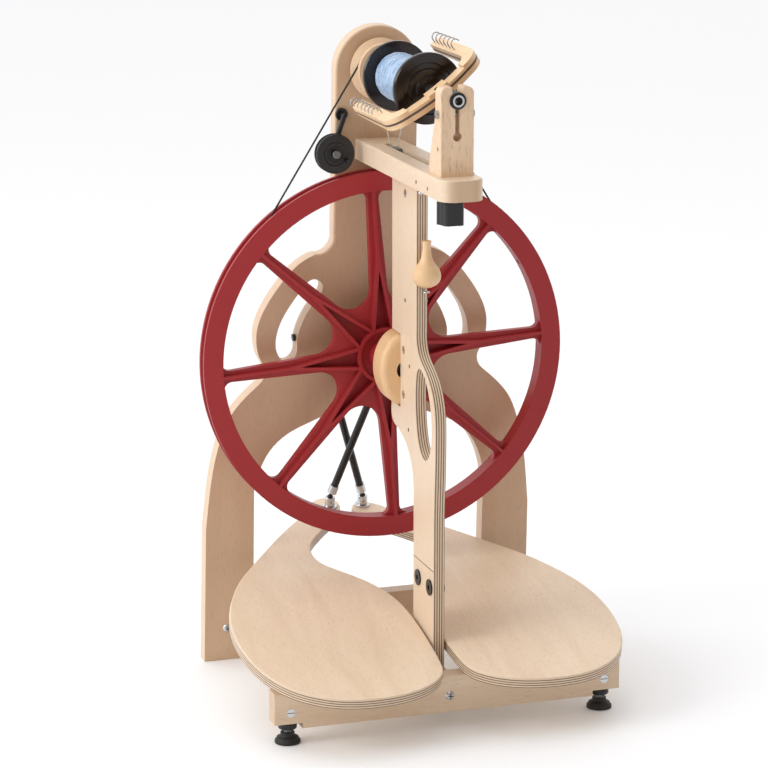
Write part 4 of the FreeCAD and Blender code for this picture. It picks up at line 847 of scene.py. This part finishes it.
def screw_heads(reach: float = 0.012, head_high: float = 0.003, sunk: float = 0.0005) -> list[Point]:
    """Place of each domed head's recess, read from the screws' mesh.

    Args:
        reach: how far to each side a head's vertices may lie.
        head_high: depth of a head behind its front point.
        sunk: depth of the recess's middle behind the front point.

    Returns:
        One point for each head, from left to right.
    """
    low, high = (Vector(corner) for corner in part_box("dome_screws"))
    mesh = frame["nodes"]["dome_screws"].data
    found: list[Point] = []
    for side in (-1, 0, 1):
        near = [v.co for v in mesh.vertices if abs(v.co.x - side * (high.x - low.x) / 2) < reach]
        front = min(c.y for c in near)
        middle_x = sum((min(c.x for c in near), max(c.x for c in near))) / 2
        flush = [c for c in near if c.y < front + head_high]
        middle_z = (min(c.z for c in flush) + max(c.z for c in flush)) / 2
        found.append((middle_x, front + sunk, middle_z))
    return found


@dataclass
class FootDiscs:
    """Smooth black discs under the bar, round the plain discs of the feet."""

    radius: float = 0.0099
    bore: float = 0.0036
    low: float = 0.0154
    high: float = 0.0232
    edge_in: float = 0.0008
    edge_up: float = 0.0009
    flats: int = 72

    def build(self, material: bpy.types.Material) -> None:
        """Adds one disc to each foot.

        Args:
            material: finish of the discs.
        """
        flat = self.radius - self.edge_in
        profile = [(self.bore, self.low), (flat, self.low), (self.radius, self.low + self.edge_up),
                   (self.radius, self.high - self.edge_up), (flat, self.high), (self.bore, self.high)]
        for side in SIDES:
            stem = centre_of("foot_stem_" + side)
            place = Matrix.Translation((stem.x, stem.y, 0.0))
            disc = lathe("foot_disc_" + side, profile, place, self.flats)
            disc.data.materials.append(material)
            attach(disc, "foot_" + side)


@dataclass
class SeamShadows:
    """Thin painted shadow line where the two post boards meet, at the top of the halved joint."""

    high: float = 0.1595
    line: float = 0.00045
    proud: float = 0.00006
    front_in: float = 0.0175
    past_bolts: float = 0.0065

    def build(self, material: bpy.types.Material) -> None:
        """Adds the painted shadow line on the left face.

        Args:
            material: dark finish of the painted shadow line.
        """
        y0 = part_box("lower_post")[0][1] + self.front_in
        y1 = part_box("lap_bolts")[1][1] + self.past_bolts
        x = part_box("front_post")[0][0] - self.proud
        # A thin dark box standing just proud of the left face: painted shadow in the seam of the post.
        mesh = bpy.data.meshes.new("post_seam_shadow")
        z0 = self.high - self.line
        z1 = self.high + self.line
        corners = [(x, y0, z0), (x, y1, z0), (x, y1, z1), (x, y0, z1)]
        back = [(x + 2 * self.proud, y, z) for _, y, z in corners]
        faces = [(3, 2, 1, 0), (4, 5, 6, 7), (0, 1, 5, 4), (1, 2, 6, 5), (2, 3, 7, 6), (3, 0, 4, 7)]
        mesh.from_pydata(corners + back, [], faces)
        seam = link_piece("post_seam_shadow", mesh)
        mesh.materials.append(material)
        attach(seam, "frame")


@dataclass(frozen=True)
class Lamp:
    """Square area lamp: place and side in metres, power in watts."""

    name: str
    at: Point
    size: float
    power: float
    colour: Colour = (1.0, 1.0, 1.0)

    def build(self, aim_at: Point) -> None:
        """Adds the lamp.

        Args:
            aim_at: the point that it looks at.
        """
        data = bpy.data.lights.new(self.name, "AREA")
        data.size = self.size
        data.energy = self.power
        data.color = self.colour
        lamp = bpy.data.objects.new(self.name, data)
        lamp.location = self.at
        aim = Vector(aim_at) - Vector(self.at)
        lamp.rotation_euler = aim.to_track_quat("-Z", "Y").to_euler()
        bpy.context.scene.collection.objects.link(lamp)


@dataclass
class Studio:
    """Floor, light and the photograph's camera."""

    camera_at: Point = (-0.97907, -2.95649, 1.0880)
    yaw_deg: float = 17.9857
    pitch_deg: float = 13.6450
    focal_px: float = 2995.85
    frame_px: float = 768.0
    sensor_mm: float = 36.0
    floor_colour: Colour = (0.89, 0.91, 0.935)
    floor_glow: float = 0.06
    bright_side: Point = (-0.35, 0.75, 0.55)
    dim_room: Colour = (0.33, 0.27, 0.22)
    bright_room: Colour = (1.19, 1.18, 1.18)
    room_from: float = -0.45
    room_to: float = 0.5
    floor_half: float = 12.0
    floor_drop: float = 0.0004
    aim_at: Point = (0.0, 0.0, 0.35)
    far_clip: float = 60.0
    lamps: tuple[Lamp, ...] = (
        Lamp("key", (-2.9, -0.5, 1.9), 1.5, 37.0, (1.0, 0.985, 0.965)),
        Lamp("top", (-0.5, 0.5, 3.0), 2.0, 8.0),
    )

    def floor(self) -> None:
        """Large pale floor."""
        mesh = bpy.data.meshes.new("floor")
        half = self.floor_half
        corners = [(-half, -half, 0), (half, -half, 0), (half, half, 0), (-half, half, 0)]
        mesh.from_pydata(corners, [], [(0, 1, 2, 3)])
        floor = link_piece("floor", mesh)
        floor.location.z = -self.floor_drop
        tree = Tree("floor")
        mesh.materials.append(tree.finish(self.floor_colour, 0.7, Emission_Color=(1.0, 1.0, 1.0, 1.0),
                                          Emission_Strength=self.floor_glow))

    def soft_room(self, nodes: bpy.types.NodeTree) -> None:
        """Room light that is brighter from above, behind and the left.

        Args:
            nodes: the world's tree.
        """
        coords = nodes.nodes.new("ShaderNodeTexCoord")
        side = nodes.nodes.new("ShaderNodeVectorMath")
        side.operation = "DOT_PRODUCT"
        side.inputs[1].default_value = Vector(self.bright_side).normalized()
        ramp = nodes.nodes.new("ShaderNodeMapRange")
        ramp.inputs["From Min"].default_value = self.room_from
        ramp.inputs["From Max"].default_value = self.room_to
        mix = nodes.nodes.new("ShaderNodeMix")
        mix.data_type = "RGBA"
        mix.inputs[6].default_value = (*self.dim_room, 1.0)
        mix.inputs[7].default_value = (*self.bright_room, 1.0)
        nodes.links.new(coords.outputs["Generated"], side.inputs[0])
        nodes.links.new(side.outputs["Value"], ramp.inputs["Value"])
        nodes.links.new(ramp.outputs[0], mix.inputs[0])
        nodes.links.new(mix.outputs[2], nodes.nodes["Background"].inputs[0])

    def build(self) -> None:
        """Sets the floor, world, lamps and camera."""
        self.floor()
        scene = bpy.context.scene
        scene.view_settings.view_transform = "Standard"
        world = bpy.data.worlds.new("studio")
        world.use_nodes = True
        self.soft_room(world.node_tree)
        scene.world = world
        for lamp in self.lamps:
            lamp.build(self.aim_at)
        data = bpy.data.cameras.new("camera")
        data.sensor_width = self.sensor_mm
        data.lens = self.focal_px / self.frame_px * self.sensor_mm
        data.clip_end = self.far_clip
        camera = bpy.data.objects.new("camera", data)
        camera.location = self.camera_at
        camera.rotation_euler = (math.radians(90 - self.pitch_deg), 0.0, -math.radians(self.yaw_deg))
        scene.collection.objects.link(camera)
        scene.camera = camera


def main() -> None:
    """Dresses the wheel and sets the studio."""
    logging.basicConfig(level=logging.INFO, format="%(name)s: %(message)s")
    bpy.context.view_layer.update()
    paints = Paint().apply()
    YarnPackage().build(paints["yarn_blue"])
    Threads().build(paints["zinc"])
    # Dark crosses on the screw heads: painted shade in the cross recesses.
    RecessesWithPaintedShade().build(paints["black_steel"])
    FootDiscs().build(paints["black_plastic"])
    # Dark strip at the top of the halved joint: painted shadow in the seam of the post.
    SeamShadows().build(paints["black_plastic"])
    Studio().build()


if __name__ == "__main__":
    main()
